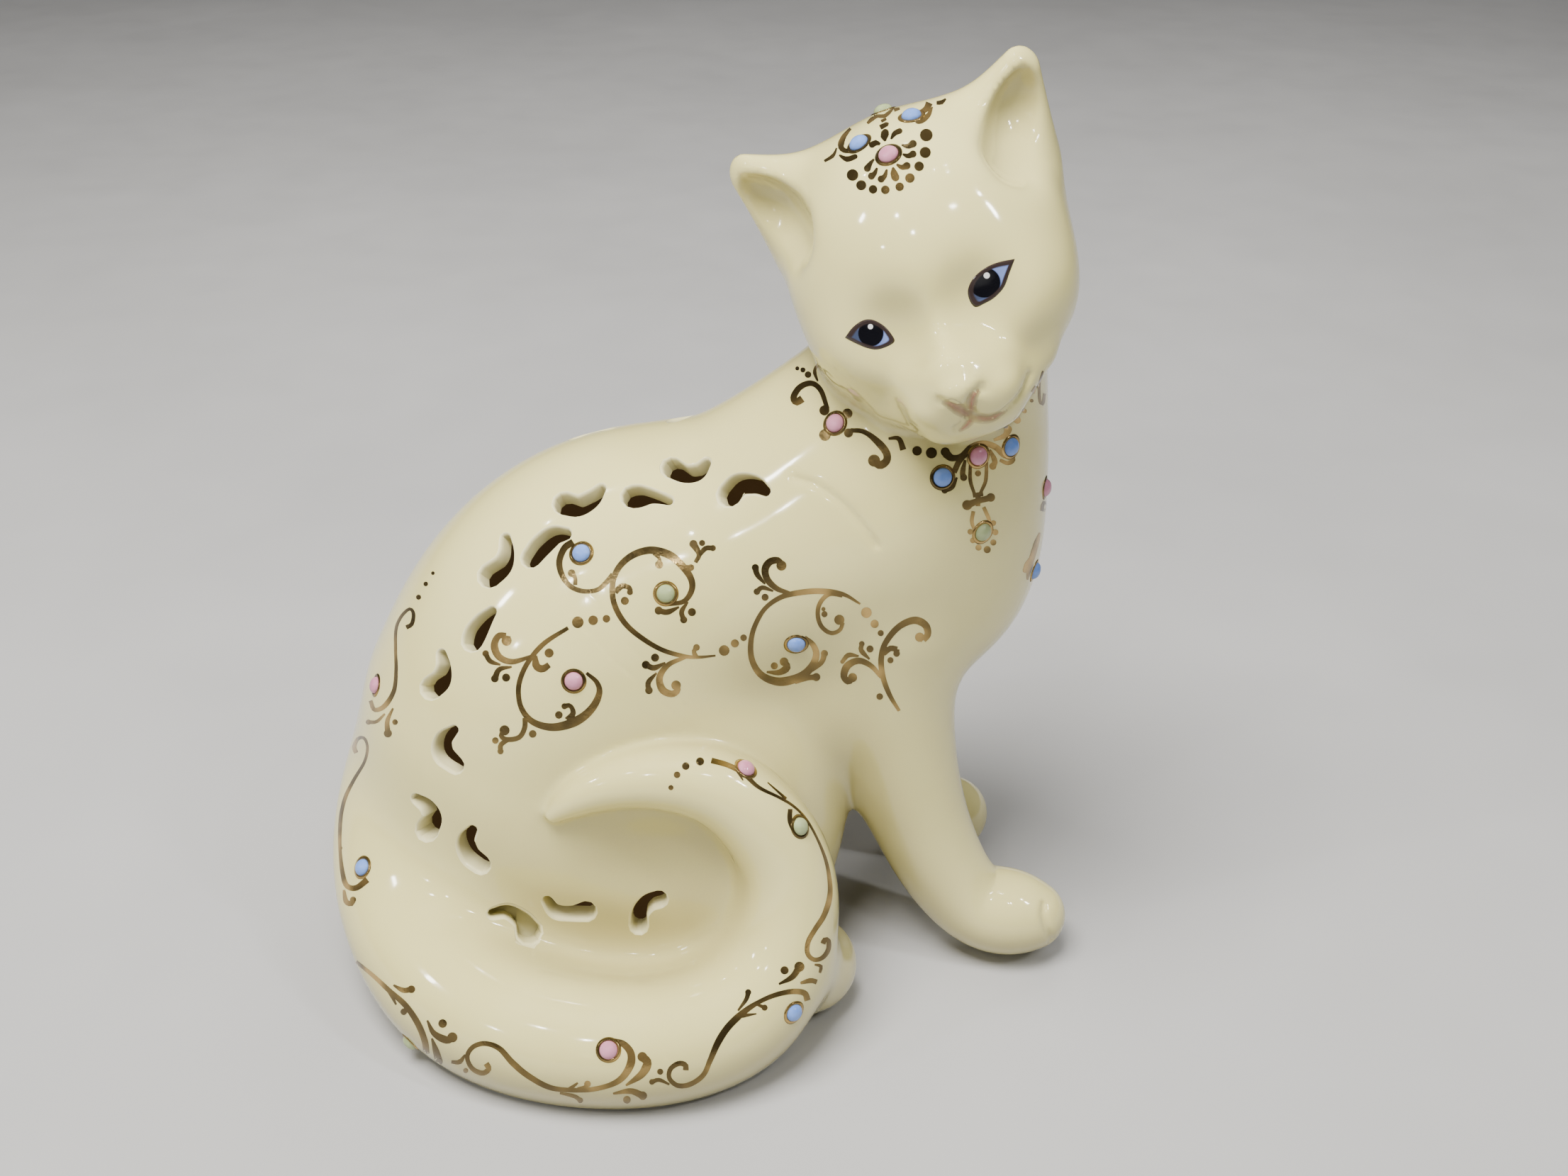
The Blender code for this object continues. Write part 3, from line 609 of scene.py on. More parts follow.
TAIL_GOLD = [
    ([(-83.6, -73), (-80, -76), (-77, -78.8), (-74, -81.5), (-71.6, -85), (-70.2, -88.5), (-69.9, -91)],
     [0.5, 0.7, 0.9, 1, 1], 0),
    ([(-76.3, -77.6), (-74.4, -78.6), (-72.8, -78.4)], [0.3, 0.8, 0.9], 0.75),
    ([(-77, -79), (-75.8, -81.4)], [0.7, 0.3], 0),
    ([(-73.6, -81.6), (-74.3, -82.8)], [0.4, 0.6], 0.65),
    ([(-69.7, -84.5), (-68.4, -87), (-66, -88.3), (-64.8, -87.8)], [0.3, 0.8, 1.2, 1.2], 1),
    ([(-68.8, -88), (-68, -90.5), (-67.4, -92.6)], [0.3, 1, 1.2], 0.7),
    ([(-58.2, -92.9), (-57.7, -94), (-59, -94.8), (-61, -93.8), (-61.9, -91.6), (-60.8, -89.7),
     (-58.4, -89), (-55.6, -90), (-53, -92.8), (-50, -95.3), (-46, -97.5), (-42, -98.1), (-37, -97.9),
     (-32.5, -96.4), (-30.2, -93.6), (-29.9, -91), (-31.4, -89.1), (-33.6, -88.5)],
     [0.9, 0.7, 0.8, 1, 0.9, 0.7, 0.8, 1.3, 0.9], 0),
    ([(-62.3, -91.2), (-63.4, -92.6), (-65, -92.6)], [0.3, 0.8, 0.5], 0),
    ([(-40.3, -96.7), (-42, -98)], [0.3, 0.7], 0),
    ([(-40.3, -98), (-38.9, -97.6), (-38.4, -96.9)], [0.7, 0.7, 0.7], 0.65),
    ([(-43.8, -98.7), (-41, -99.3), (-39.8, -100.1)], [0.3, 0.6, 0.7], 0.55),
    ([(-30.9, -97.2), (-27.8, -95), (-26.7, -92.8), (-27.7, -91.6)], [0.3, 1, 1.4, 1.3], 0.95),
    ([(-33.4, -98.8), (-30, -98.3), (-27.6, -99.2)], [0.3, 0.9, 1.1], 0.85),
    ([(-19.2, -94.2), (-19.3, -93.2), (-20.6, -92.9), (-22.2, -94), (-22.4, -95.8), (-20.8, -97.2),
     (-18.4, -97), (-15.8, -95.2), (-14.4, -92.2), (-12.8, -88.6), (-10.6, -85.4), (-7, -82.2), (-3, -80),
     (1, -78.9), (3.9, -79.1), (4.6, -80.6)], [0.9, 0.7, 0.8, 0.8, 1.1, 1.1, 0.7, 0.8, 1], 0),
    ([(-22.4, -97), (-24.4, -96.1), (-25.8, -96.5)], [0.3, 0.6, 0.7], 0.55),
    ([(-9, -82.6), (-7.4, -80.4), (-7, -79)], [0.3, 0.6, 0.8], 0.6),
    ([(-8.2, -83.6), (-5.4, -83.2)], [0.7, 0.2], 0),
    ([(-5.6, -81.2), (-3.8, -82)], [0.4, 0.6], 0.6),
    ([(-1, -77.4), (1.6, -76), (3, -74)], [0.3, 0.9, 1.1], 1),
    ([(3.2, -77.2), (5.2, -76.7), (6.4, -77)], [0.4, 0.8, 0.8], 0),
    ([(7.6, -69.5), (8, -68.7), (8.7, -69), (8.6, -70.8), (7.4, -72.3), (5.8, -72.6), (4.6, -71.4),
     (4.7, -69.2), (6, -66.8), (7.8, -64), (8.9, -60.5), (8.9, -57), (8.1, -53), (6.4, -48.8), (4.2, -45),
     (1.8, -42.6), (-1, -40.9), (-5, -38.9), (-8, -36.2), (-11, -34.6), (-14.2, -33.7)],
     [0.8, 0.7, 0.8, 0.9, 0.6, 0.4, 0.4, 0.5, 0.8, 0.9], 0),
    ([(6, -73.6), (7.2, -73.9), (7, -75.2)], [0.3, 0.6, 0.4], 0),
    ([(-9.6, -35), (-8, -37.6)], [0.6, 0.2], 0),
    ([(1.2, -43.2), (1.2, -45.6), (2.4, -48.2)], [0.7, 0.8, 0.8], 0),
    ([(-3.2, -38), (0.4, -41.2)], [0.2, 0.5], 0),
]
TAIL_DOTS = [
    (-66.7, -85.1, 0.85), (-62.2, -94.3, 0.5), (-30.7, -100, 0.75), (-24.2, -94.5, 0.6),
    (0.1, -74.7, 0.8), (-16.4, -33.9, 0.8), (-19.2, -34.8, 0.75), (-20.9, -36.5, 0.65), (-22.1, -39, 0.5),
]
COLLAR = [
    ([(6.4, 43.7), (6, 42.2), (6.6, 40.4)], [0.3, 0.6, 0.3], 0),
    ([(3.6, 37), (2.4, 36.3), (1.9, 37.4), (3.2, 39.3), (5.4, 40), (7.2, 38.6), (8.5, 35)],
     [1.2, 1, 0.9, 0.8, 0.7], 0),
    ([(13, 30.8), (15.4, 30.6), (17.6, 29.2), (19.8, 26.8), (20.1, 25), (18.8, 24), (17.6, 24.9)],
     [0.7, 0.8, 1.2, 1.2, 1.4], 1.2),
    ([(20.4, 29.2), (22.4, 29.2), (23.3, 27)], [0.4, 0.8, 1], 0),
    ([(31.6, 26.3), (32.8, 25.4), (34.6, 25.8), (36.6, 27.6), (39, 28.3), (41.4, 27.5), (43, 26),
     (44.6, 25.6), (44.6, 24.8), (43.6, 24.4), (42.2, 25)], [1.4, 0.8, 0.9, 0.9, 1, 0.8, 0.5], 0),
    ([(43.8, 31), (43.2, 29.8), (41, 28.9)], [1.2, 0.8, 0.4], 0),
    ([(50.6, 42.4), (49.9, 39.6), (50, 36.6), (50.6, 36), (50.9, 38)], [0.3, 0.4, 0.5, 0.5], 0),
    ([(48.6, 38.2), (49.2, 39.4)], [0.7, 0.4], 0),
    ([(36.4, 26.8), (34.4, 25), (33.2, 22.6)], [0.7, 0.9, 0.9], 0),
    ([(33.8, 21.6), (32.8, 19.7), (31.4, 19.1)], [0.3, 0.8, 0.8], 0.65),
    ([(35.4, 25), (34.9, 22.6), (35.1, 21.6)], [0.4, 0.8, 0.9], 0.7),
    ([(40.2, 27), (41.2, 24.8), (40.8, 23.8)], [0.4, 0.8, 0.9], 0.7),
    ([(36.4, 24), (36.4, 21), (37.2, 18.4)], [0.5, 0.6, 0.5], 0),
    ([(39.6, 24.6), (39.4, 21), (38.4, 18.6)], [0.5, 0.6, 0.5], 0),
    ([(36.9, 18.1), (38.9, 18.4)], [0.7, 0.7], 0),
    ([(40.2, 17.6), (37.9, 17), (35.8, 16.2)], [1, 0.9, 1.2], 1),
    ([(37.9, 18.2), (37.9, 16)], [0.9, 0.7], 0),
    ([(37, 15), (36.7, 13), (37.2, 11.4)], [0.6, 0.6, 0.5], 0),
    ([(39, 15.8), (40, 13.6), (40.4, 12.2)], [0.6, 0.6, 0.5], 0),
    ([(50, 10.8), (49.4, 9), (48.8, 7), (48.2, 5), (47.8, 3.2), (47.6, 1.6)],
     [0.3, 0.8, 0.9, 0.9, 0.8, 0.3], 0),
    ([(48.1, 5.8), (47.5, 4.6), (47.1, 3.4)], [0.4, 0.8, 0.8], 0.45),
    ([(50.9, 17), (50.7, 16), (50.5, 15)], [0.5, 0.9, 0.7], 0),
]
COLLAR_DOTS = [
    (2.6, 42.9, 0.4), (3.7, 42.6, 0.5), (4.7, 41.7, 0.65), (7.9, 34.7, 1), (12.4, 34.1, 1),
    (8, 29.9, 1.15), (12.6, 30.3, 0.9), (26, 26.8, 0.95), (28.8, 26.4, 1.1), (31.5, 26.6, 0.9),
    (45.6, 32.8, 0.7), (47, 34.6, 0.45), (48.4, 36.6, 0.35), (43.8, 31, 0.75), (37.9, 22.4, 0.6),
    (40.4, 17.7, 0.85), (36.4, 11, 0.55), (36.9, 9.3, 0.55), (38, 7.9, 0.6), (39.7, 7.5, 0.7),
    (40.9, 8.9, 0.6), (41.3, 10.9, 0.6), (40.9, 12.7, 0.55),
]
CROWN = [
    ([(17.6, 83.8), (16.9, 83), (16.3, 82)], [0.3, 0.7, 1.1], 0.7),
    ([(18.2, 82.1), (17.7, 81), (17.1, 80.5)], [0.3, 0.7, 1], 0.7),
    ([(20.1, 81.8), (19.7, 80.5), (19, 79.9)], [0.3, 0.7, 1], 0.7),
    ([(21.3, 82.2), (21.5, 81), (21.8, 80.2)], [0.3, 1.1, 1.3], 0.75),
    ([(22, 82.8), (23, 82.2), (24, 82.5)], [0.3, 0.8, 1.1], 0.75),
    ([(23.2, 84.8), (24.2, 84.4), (25.2, 84.8)], [0.3, 0.8, 1], 0.7),
    ([(23, 86.6), (24.2, 86.3), (25.2, 86.8)], [0.3, 0.8, 1.1], 0.75),
    ([(20.9, 87.7), (21.6, 88.8), (22.6, 89.3)], [0.3, 0.8, 0.9], 0.55),
    ([(19.8, 87.3), (19.6, 88.2), (19.8, 89)], [0.3, 1.2, 1.3], 0.7),
    ([(18.8, 86.7), (18, 87), (17.2, 86.6)], [0.4, 0.9, 1], 0.6),
    ([(13, 89.8), (11.7, 88.2), (11.1, 86.4), (11.8, 85.5), (13.4, 85.3)], [0.4, 0.7, 1, 0.8, 0.5], 0),
    ([(10.8, 84.6), (12.3, 83.8), (13.9, 84.3)], [0.3, 0.9, 0.8], 0.5),
    ([(10.3, 86), (9.6, 84.5), (7.9, 83.4)], [0.2, 0.6, 0.4], 0),
    ([(16.3, 90.8), (17.3, 91.7), (18.3, 92.1)], [0.4, 0.7, 0.3], 0),
    ([(26.6, 93), (27.8, 93.6), (28.4, 94.8)], [0.6, 1, 1.1], 0),
    ([(29, 94), (28.2, 92.4), (26.9, 91.3), (26, 91.1)], [0.2, 0.7, 0.9, 0.7], 0.35),
    ([(31.6, 95.6), (30.8, 94.9), (29.8, 94.8)], [0.3, 0.7, 0.6], 0),
    ([(17.6, 92.4), (19.5, 92.2), (20.6, 93), (21.4, 94)], [0.5, 0.6, 0.6, 0.4], 0),
    ([(18.8, 90), (20.2, 90.7)], [0.8, 0.7], 0.3),
    ([(19, 91.2), (20, 91.7)], [0.5, 0.4], 0),
    ([(21.5, 93.4), (22.6, 93.7)], [0.6, 0.4], 0),
]
CROWN_DOTS = [
    (13.4, 80.7, 1.15), (15.1, 78.7, 1), (17.4, 77.9, 0.85), (19.8, 77.8, 0.85), (22.6, 78.4, 0.85),
    (24.6, 80.1, 0.95), (26.4, 82.4, 0.95), (27.6, 85.1, 1.1), (27.8, 88.5, 1.25),
]
# Beads: each CAD node's place on the sheet.
BEADS = {
    "bead_flank_right_pink_1": (-41.1, -18.2),
    "bead_flank_right_green_1": (-23.1, -1.1),
    "bead_flank_right_blue_1": (-39.6, 6.8),
    "bead_flank_right_blue_2": (2.4, -11),
    "bead_back_pink": (-79.8, -19),
    "bead_tail_blue_1": (-82.4, -54.6),
    "bead_tail_green_1": (-73.2, -89),
    "bead_tail_pink_1": (-34.3, -90.3),
    "bead_tail_blue_2": (2, -83),
    "bead_tail_green_2": (3.2, -46.6),
    "bead_tail_pink_2": (-7.4, -35.2),
    "bead_collar_pink_1": (10, 32.2),
    "bead_collar_blue_1": (31, 21.6),
    "bead_collar_pink_2": (38, 25.8),
    "bead_collar_blue_2": (44.4, 27.6),
    "bead_collar_green_1": (38.9, 10.9),
    "bead_chest_pink": (51.1, 19.6),
    "bead_chest_blue": (49, 3.4),
    "bead_crown_pink": (20.4, 84.7),
    "bead_crown_blue_1": (14.6, 86.9),
    "bead_crown_blue_2": (24.9, 92.3),
    "bead_crown_green": (19.3, 93.4),
}
LEFT_BEADS = {node.replace("right", "left"): place for node, place in BEADS.items() if "flank" in node}
# Eyes: outline, middle of the pupil, its half sizes, and the catch-light (x, y, radius).
EYES = {
    "right": (
        [(11.9, 48.9), (13.4, 50.9), (15.4, 52.3), (17.4, 52.4), (19.6, 51.2), (21.0, 49.6), (21.6, 48.2),
         (20.2, 47.2), (18.2, 46.6), (16.2, 46.9), (13.8, 47.9)],
        (17.0, 49.8), (2.5, 2.6), (16.9, 51.1, 0.55),
    ),
    "left": (
        [(45.1, 64.3), (42, 63.7), (39.4, 62.6), (37.2, 60.8), (36, 58.6), (36.1, 56.6), (37.3, 54.9),
         (39.2, 55.6), (41.2, 56.8), (43, 58.8), (44, 61.4)],
        (39.2, 59.7), (3.15, 3.0), (39.6, 61.1, 0.65),
    ),
}
# Rose wash on the nose and mouth, as strokes.
ROSE = [
    ([(38.8, 38.9), (37.7, 38.3), (36.9, 37.2), (36.6, 35.4), (36.8, 33.6)],
     [0.4, 1.3, 1.8, 1.6, 1.6], 0),
    ([(30.8, 36.2), (32.6, 35.9), (34.4, 34.8), (36, 33.9), (37, 33.5)], [0.5, 1.8, 2.1, 1.8, 1.6], 0),
    ([(36.4, 33.5), (38.4, 33.1), (40.6, 33.2), (43.6, 34.8)], [1.7, 1.6, 1.2, 0.4], 0),
    ([(36.8, 33.4), (35.8, 31.9), (34.2, 30.6)], [1.5, 1.1, 0.4], 0),
]


# ---- materials ----
def link(tree, a, b):
    tree.links.new(a, b)


def shader_node(tree, kind, **inputs):
    """A new node, with the values of its inputs."""
    made = tree.nodes.new("ShaderNode" + kind)
    for key, value in inputs.items():
        made.inputs[key.replace("_", " ")].default_value = value
    return made


def noise(tree, scale, detail=3.0):
    """Noise in the object's own space.  Scale is in patches per metre."""
    made = shader_node(tree, "TexNoise", Scale=scale, Detail=detail)
    link(tree, shader_node(tree, "TexCoord").outputs["Object"], made.inputs["Vector"])
    return made.outputs["Fac"]


def ramp(tree, source, stops):
    """A colour ramp.  Stops are (position, colour)."""
    made = shader_node(tree, "ValToRGB")
    slots = made.color_ramp.elements
    while len(slots) < len(stops):
        slots.new(0.5)
    for stop, (position, colour) in zip(slots, stops):
        stop.position = position
        stop.color = (*colour, 1)
    link(tree, source, made.inputs["Fac"])
    return made.outputs["Color"]


def mottle(tree, scale, dark, light):
    """Two tones in soft patches."""
    return ramp(tree, noise(tree, scale), [(0.3, dark), (0.7, light)])


def span(tree, source, low, high, from_low=0.3, from_high=0.7):
    """Maps a 0 to 1 value to a range."""
    made = shader_node(tree, "MapRange", From_Min=from_low, From_Max=from_high, To_Min=low, To_Max=high)
    link(tree, source, made.inputs["Value"])
    return made.outputs["Result"]


def over(tree, under, colour, mask):
    """Lays a colour over another where the mask is 1."""
    mix = tree.nodes.new("ShaderNodeMix")
    mix.data_type = "RGBA"
    link(tree, mask, mix.inputs["Factor"])
    link(tree, under, mix.inputs["A"])
    mix.inputs["B"].default_value = (*colour, 1)
    return mix.outputs["Result"]


def new_material(name, rough, dents=None, **inputs):
    """A material, its node tree and its shader's inputs.

    Its roughness comes in patches (scale, low, high), and its dents are (scale, strength, depth, detail).
    """
    made = bpy.data.materials.new(name)
    made.use_nodes = True
    tree = made.node_tree
    shader = tree.nodes["Principled BSDF"]
    for key, value in inputs.items():
        shader.inputs[key.replace("_", " ")].default_value = value
    scale, low, high = rough
    link(tree, span(tree, noise(tree, scale), low, high), shader.inputs["Roughness"])
    if dents:
        scale, strength, depth, *detail = dents
        bump = shader_node(tree, "Bump", Strength=strength, Distance=depth)
        link(tree, noise(tree, scale, *detail), bump.inputs["Height"])
        link(tree, bump.outputs["Normal"], shader.inputs["Normal"])
    return made, tree, shader.inputs


def porcelain(name, tones, pooling_and_shade):
    """Glaze darkened in the hollows: partly as glaze that runs thicker there, partly as painted shade."""
    made, tree, inputs = new_material(
        name, (90, 0.07, 0.13), (220, 0.08, 0.0003, 1.0), Subsurface_Weight=0.06, Subsurface_Scale=0.003,
        Subsurface_Radius=(1.0, 0.75, 0.45), Coat_Weight=0.35, Coat_Roughness=0.04,
    )
    # Painted shade: where the occlusion node finds hollows, the colour is mixed toward a dark olive,
    # standing partly for thicker glaze and partly for shade.
    hollows = shader_node(tree, "AmbientOcclusion", Distance=0.03)
    hollows.samples = 8
    pooled_and_shaded = span(tree, hollows.outputs["AO"], pooling_and_shade, 0, 0.6, 1.0)
    link(tree, over(tree, mottle(tree, 35, *tones), (0.34, 0.29, 0.13), pooled_and_shaded), inputs["Base Color"])
    return made


def shaded_inside():
    """The bare inside, painted a dark brown as the shade that fills it.  It glows faintly, as painted light
    for the light let in by the piercings on the far side.
    """
    # Painted light: the faint brown glow stands for light let in through the piercings on the far side.
    made, tree, inputs = new_material(
        "unglazed inside, painted dark", (300, 0.7, 0.95), (900, 0.4, 0.0003),
        Emission_Color=(0.10, 0.055, 0.020, 1), Emission_Strength=0.35,
    )
    # Painted shade: the near-black brown stands for the shade inside the hollow body.
    link(tree, mottle(tree, 160, (0.030, 0.018, 0.008), (0.060, 0.036, 0.014)), inputs["Base Color"])
    return made


def gold():
    """Transfer gold, painted dark and bright in patches as reflections of dim surroundings and flashes of
    light.
    """
    made, tree, inputs = new_material(
        "burnished gold", (400, 0.12, 0.28), (1500, 0.25, 0.0001), Metallic=0.85
    )
    # Painted reflection: the dark tones stand for dim surroundings mirrored in the gold, the brightest for
    # flashes of light.
    tones = [(0.40, (0.12, 0.085, 0.032)), (0.52, (0.20, 0.14, 0.05)), (0.66, (0.55, 0.37, 0.13))]
    link(tree, ramp(tree, noise(tree, 110, 2.0), tones), inputs["Base Color"])
    return made


def enamel(name, dark, light):
    made, tree, inputs = new_material(name, (700, 0.06, 0.15), (900, 0.15, 0.0001))
    link(tree, mottle(tree, 500, dark, light), inputs["Base Color"])
    return made


def flat_distance(tree, centre, half):
    """Distance on the drawing from a centre, where the ellipse of the half sizes is 1."""
    spot = tree.nodes.new("ShaderNodeUVMap")
    spot.uv_map = "flat"
    for operation, by in (("SUBTRACT", (*centre, 0)), ("DIVIDE", (*half, 1)), ("LENGTH", (0, 0, 0))):
        maths = tree.nodes.new("ShaderNodeVectorMath")
        maths.operation = operation
        maths.inputs[1].default_value = by
        link(tree, spot.outputs[0], maths.inputs[0])
        spot = maths
    return maths.outputs["Value"]


def paint_value(tree):
    """What paint_values gives the piece's vertices."""
    made = tree.nodes.new("ShaderNodeAttribute")
    made.attribute_name = "paint"
    return made.outputs["Fac"]


def paint_values(piece, values):
    """Gives each vertex a number from 0 to 1 that the piece's material reads."""
    layer = piece.data.attributes.new("paint", "FLOAT", "POINT")
    layer.data.foreach_set("value", np.float32(values))


def eye_paint(name, pupil, half, glint):
    """An iris with a wide pupil and a white catch-light, inside a brown line that follows the lids."""
    made, tree, inputs = new_material(name, (600, 0.04, 0.1), (800, 0.1, 0.0001))
    # The iris darkens toward a point low on the pupil's left.
    shaded, iris_half = (pupil[0] - 1.8, pupil[1] - 1.2), (half[0] * 1.9, half[1] * 1.5)
    tones = [(0.45, (0.05, 0.065, 0.12)), (0.8, (0.14, 0.20, 0.45)), (1.0, (0.18, 0.25, 0.54))]
    colour = ramp(tree, flat_distance(tree, shaded, iris_half), tones)
    black = span(tree, flat_distance(tree, pupil, half), 1, 0, 0.96, 1.02)
    colour = over(tree, colour, (0.004, 0.004, 0.006), black)
    white = span(tree, flat_distance(tree, glint[:2], (glint[2], glint[2])), 1, 0, 0.85, 1.0)
    colour = over(tree, colour, (0.85, 0.85, 0.85), white)
    colour = over(tree, colour, (0.035, 0.024, 0.022), span(tree, paint_value(tree), 0, 1, 0.70, 0.78))
    link(tree, colour, inputs["Base Color"])
    return made


def rose_wash():
    """A soft brown-pink line that fades out at its edges."""
    made, tree, inputs = new_material("rose wash", (500, 0.08, 0.16), (800, 0.1, 0.0001))
    link(tree, mottle(tree, 300, (0.55, 0.22, 0.15), (0.61, 0.28, 0.19)), inputs["Base Color"])
    fade = tree.nodes.new("ShaderNodeMath")
    fade.operation = "MULTIPLY"
    link(tree, span(tree, paint_value(tree), 0, 0.62, 0.1, 1.0), fade.inputs[0])
    link(tree, span(tree, noise(tree, 700), 0.7, 1.0), fade.inputs[1])
    link(tree, fade.outputs[0], inputs["Alpha"])
    return made


GLAZE = porcelain("ivory porcelain glaze", [(0.74, 0.67, 0.28), (0.79, 0.72, 0.32)], 0.55)
# Painted light: the piercings' walls get a paler copy of the glaze so that they look lit by light bouncing
# into the openings; it is still darkened a little in its hollows as painted shade.
LIT_CUT_EDGE = porcelain("glaze over the cut edges, painted lighter", [(0.78, 0.73, 0.42), (0.83, 0.78, 0.46)], 0.25)
SHADED_INSIDE, GOLD = shaded_inside(), gold()
ENAMELS = {
    "pink": enamel("pink enamel", (0.52, 0.20, 0.30), (0.64, 0.29, 0.40)),
    "blue": enamel("blue enamel", (0.12, 0.24, 0.64), (0.20, 0.34, 0.76)),
    "green": enamel("green enamel", (0.30, 0.36, 0.17), (0.41, 0.47, 0.25)),
}


# ---- the porcelain skin ----
RIM = 0.3  # a piercing is cut this much wider all round than it is drawn
# How far the mouth of a piercing flares, by depth below the glaze: (depth, flare).
FLARE = [(-1.2, 1.0), (0.0, 0.55), (0.12, 0.32), (0.35, 0.14), (0.8, 0.0), (6.5, -0.2)]


def sides(run):
    """Unit directions along a flat run of points, and across it to the left."""
    along = np.gradient(run, axis=0)
    along /= np.linalg.norm(along, axis=1, keepdims=True) + 1e-9
    return along, np.stack([-along[:, 1], along[:, 0]], 1)


def outline(midline, widths):
    """The edge of a rounded blade drawn along a midline, anticlockwise."""
    run = smooth_path([(*p, w) for p, w in zip(midline, widths)], 6)
    along, across = sides(run[:, :2])
    half = run[:, 2:] / 2 + RIM
    left, right = run[:, :2] + across * half, run[:, :2] - across * half
    turns = np.radians([36, 72, 108, 144])[:, None]
    tips = [
        run[k, :2] + way * half[k] * (np.cos(turns) * across[k] + np.sin(turns) * along[k])
        for k, way in ((-1, 1), (0, -1))
    ]
    edge = np.concatenate([left, tips[0], right[::-1], tips[1]])
    area = np.sum(edge[:, 0] * np.roll(edge[:, 1], -1) - np.roll(edge[:, 0], -1) * edge[:, 1])
    return edge if area > 0 else edge[::-1]


def punch(verts, faces, edge, left):
    """Adds a flared plug that follows the drawn edge and runs into the hollow."""
    rim, facing = wrap(edge, left)
    inward = -facing.mean(0)
    inward /= np.linalg.norm(inward)
    tangent = np.roll(rim, -1, 0) - np.roll(rim, 1, 0)
    outward = np.cross(tangent, -inward)
    outward /= np.linalg.norm(outward, axis=1, keepdims=True)
    if ((rim - rim.mean(0)) * outward).sum() < 0:
        outward = -outward
    rows = ring_rows(len(edge), len(FLARE), len(verts))
    for depth, flare in FLARE:
        verts.extend(rim + outward * flare + inward * depth)
    faces += walls(rows) + [rows[0], rows[-1][::-1]]


def build_skin():
    """The outer glaze, and the hollow inside it."""
    verts, faces = nets(*band(cat, LOW, HIGH, GRID), GRID)
    verts = settle(cat, verts)
    coarse = GRID * 2.5
    inner, inner_faces = nets(*band(hollow, LOW, HIGH, coarse, 2), coarse)
    inner = settle(hollow, inner, 1)
    slots = np.repeat(np.int32([0, 1]), [len(faces), len(inner_faces)])
    faces = np.concatenate([faces, inner_faces[:, ::-1] + len(verts)])
    skin = make_mesh("porcelain_skin", np.concatenate([verts, inner]), faces, GLAZE)
    skin.data.materials.append(SHADED_INSIDE)
    skin.data.materials.append(LIT_CUT_EDGE)
    skin.data.polygons.foreach_set("material_index", slots)
    return skin


def pierce(skin):
    """Cuts the piercings through, which leaves the plugs' material on their walls."""
    verts, faces = [], []
    for drawn, left in ((PIERCINGS + BOWL_PIERCINGS, False), (LEFT_PIERCINGS, True)):
        for midline, widths in drawn:
            punch(verts, faces, outline(midline, widths), left)
    plugs = make_mesh("plugs", verts, faces, LIT_CUT_EDGE)
    orient(plugs)
    cut = skin.modifiers.new("piercings", "BOOLEAN")
    cut.operation = "DIFFERENCE"
    cut.solver = "MANIFOLD"
    cut.object = plugs
    graph = bpy.context.evaluated_depsgraph_get()
    done = bpy.data.meshes.new_from_object(skin.evaluated_get(graph))
    skin.modifiers.clear()
    skin.data = done
    bpy.data.objects.remove(plugs)


def polish(mesh):
    """Gives the outer glaze the exact normals of the clay, and leaves the piercings their own."""
    spots = np.zeros(len(mesh.vertices) * 3)
    mesh.vertices.foreach_get("co", spots)
    spots = spots.reshape(-1, 3) / MM
    on_glaze = np.abs(cat(np.float32(spots))) < 0.03
    corner = corner_verts(mesh)
    starts = np.zeros(len(mesh.polygons), np.int32)
    mesh.polygons.foreach_get("loop_start", starts)
    whole = np.logical_and.reduceat(on_glaze[corner], starts)
    sizes = np.diff(np.append(starts, len(corner)))
    wanted = np.where(np.repeat(whole, sizes)[:, None], slope(cat, spots)[corner], 0)
    mesh.shade_smooth()
    mesh.set_sharp_from_angle(angle=math.radians(38))
    mesh.normals_split_custom_set(wanted.tolist())


# ---- gold, rose and enamel ----
# A stroke's points lie this far apart, and its edges this share of the drawn width from its middle.
STROKE_STEP, STROKE_HALF = 0.42, 0.62
ROOT = -0.25  # how deep the drawing's underside lies below the glaze
DOT_SIDES, BEAD_SIDES, RING_SIDES = 14, 24, 28
# A bead's dome: (height, share of its radius) from the foot up, then the height of its top.
BEAD_RADIUS = 1.65
DOME = [(-0.5, 0.92), (0.05, 1.0), (0.35, 0.95), (0.65, 0.82), (0.9, 0.6), (1.05, 0.32)]
DOME_TOP = 1.12
# A gold ring's section: (radius, height).
RING = [(1.5, 0.12), (1.9, 0.16), (2.3, 0.03), (2.0, -0.3)]
# An eye's patch: (share of the outline, height above the glaze) from the rim in, then its middle.
PATCH = [(1.0, 0.02), (0.9, 0.07), (0.75, 0.10), (0.5, 0.10), (0.25, 0.10)]
PATCH_MIDDLE = (0.0, 0.10)
EYE_ROOT = -0.6


def circle(count):
    """Points evenly round a circle of radius 1."""
    turns = np.linspace(0, 2 * math.pi, count, endpoint=False)
    return np.stack([np.cos(turns), np.sin(turns)], 1)


def disc(facing, count):
    """The same circle, square to a direction."""
    across = np.cross(facing, [0, 0, 1])
    across /= np.linalg.norm(across)
    return circle(count) @ np.stack([across, np.cross(facing, across)])


def ribbon_points(points, widths):
    """A stroke's left edge, middle and right edge, at even steps."""
    rough = smooth_path(points, 12)
    far = np.concatenate([[0], np.cumsum(np.linalg.norm(np.diff(rough, axis=0), axis=1))])
    count = max(4, int(far[-1] / STROKE_STEP) + 1)
    at = np.linspace(0, far[-1], count)
    run = np.stack([np.interp(at, far, rough[:, i]) for i in (0, 1)], 1)
    _, across = sides(run)
    half = np.interp(np.linspace(0, 1, count), np.linspace(0, 1, len(widths)), widths)[:, None] * STROKE_HALF
    return np.stack([run + across * half, run, run - across * half], 1)


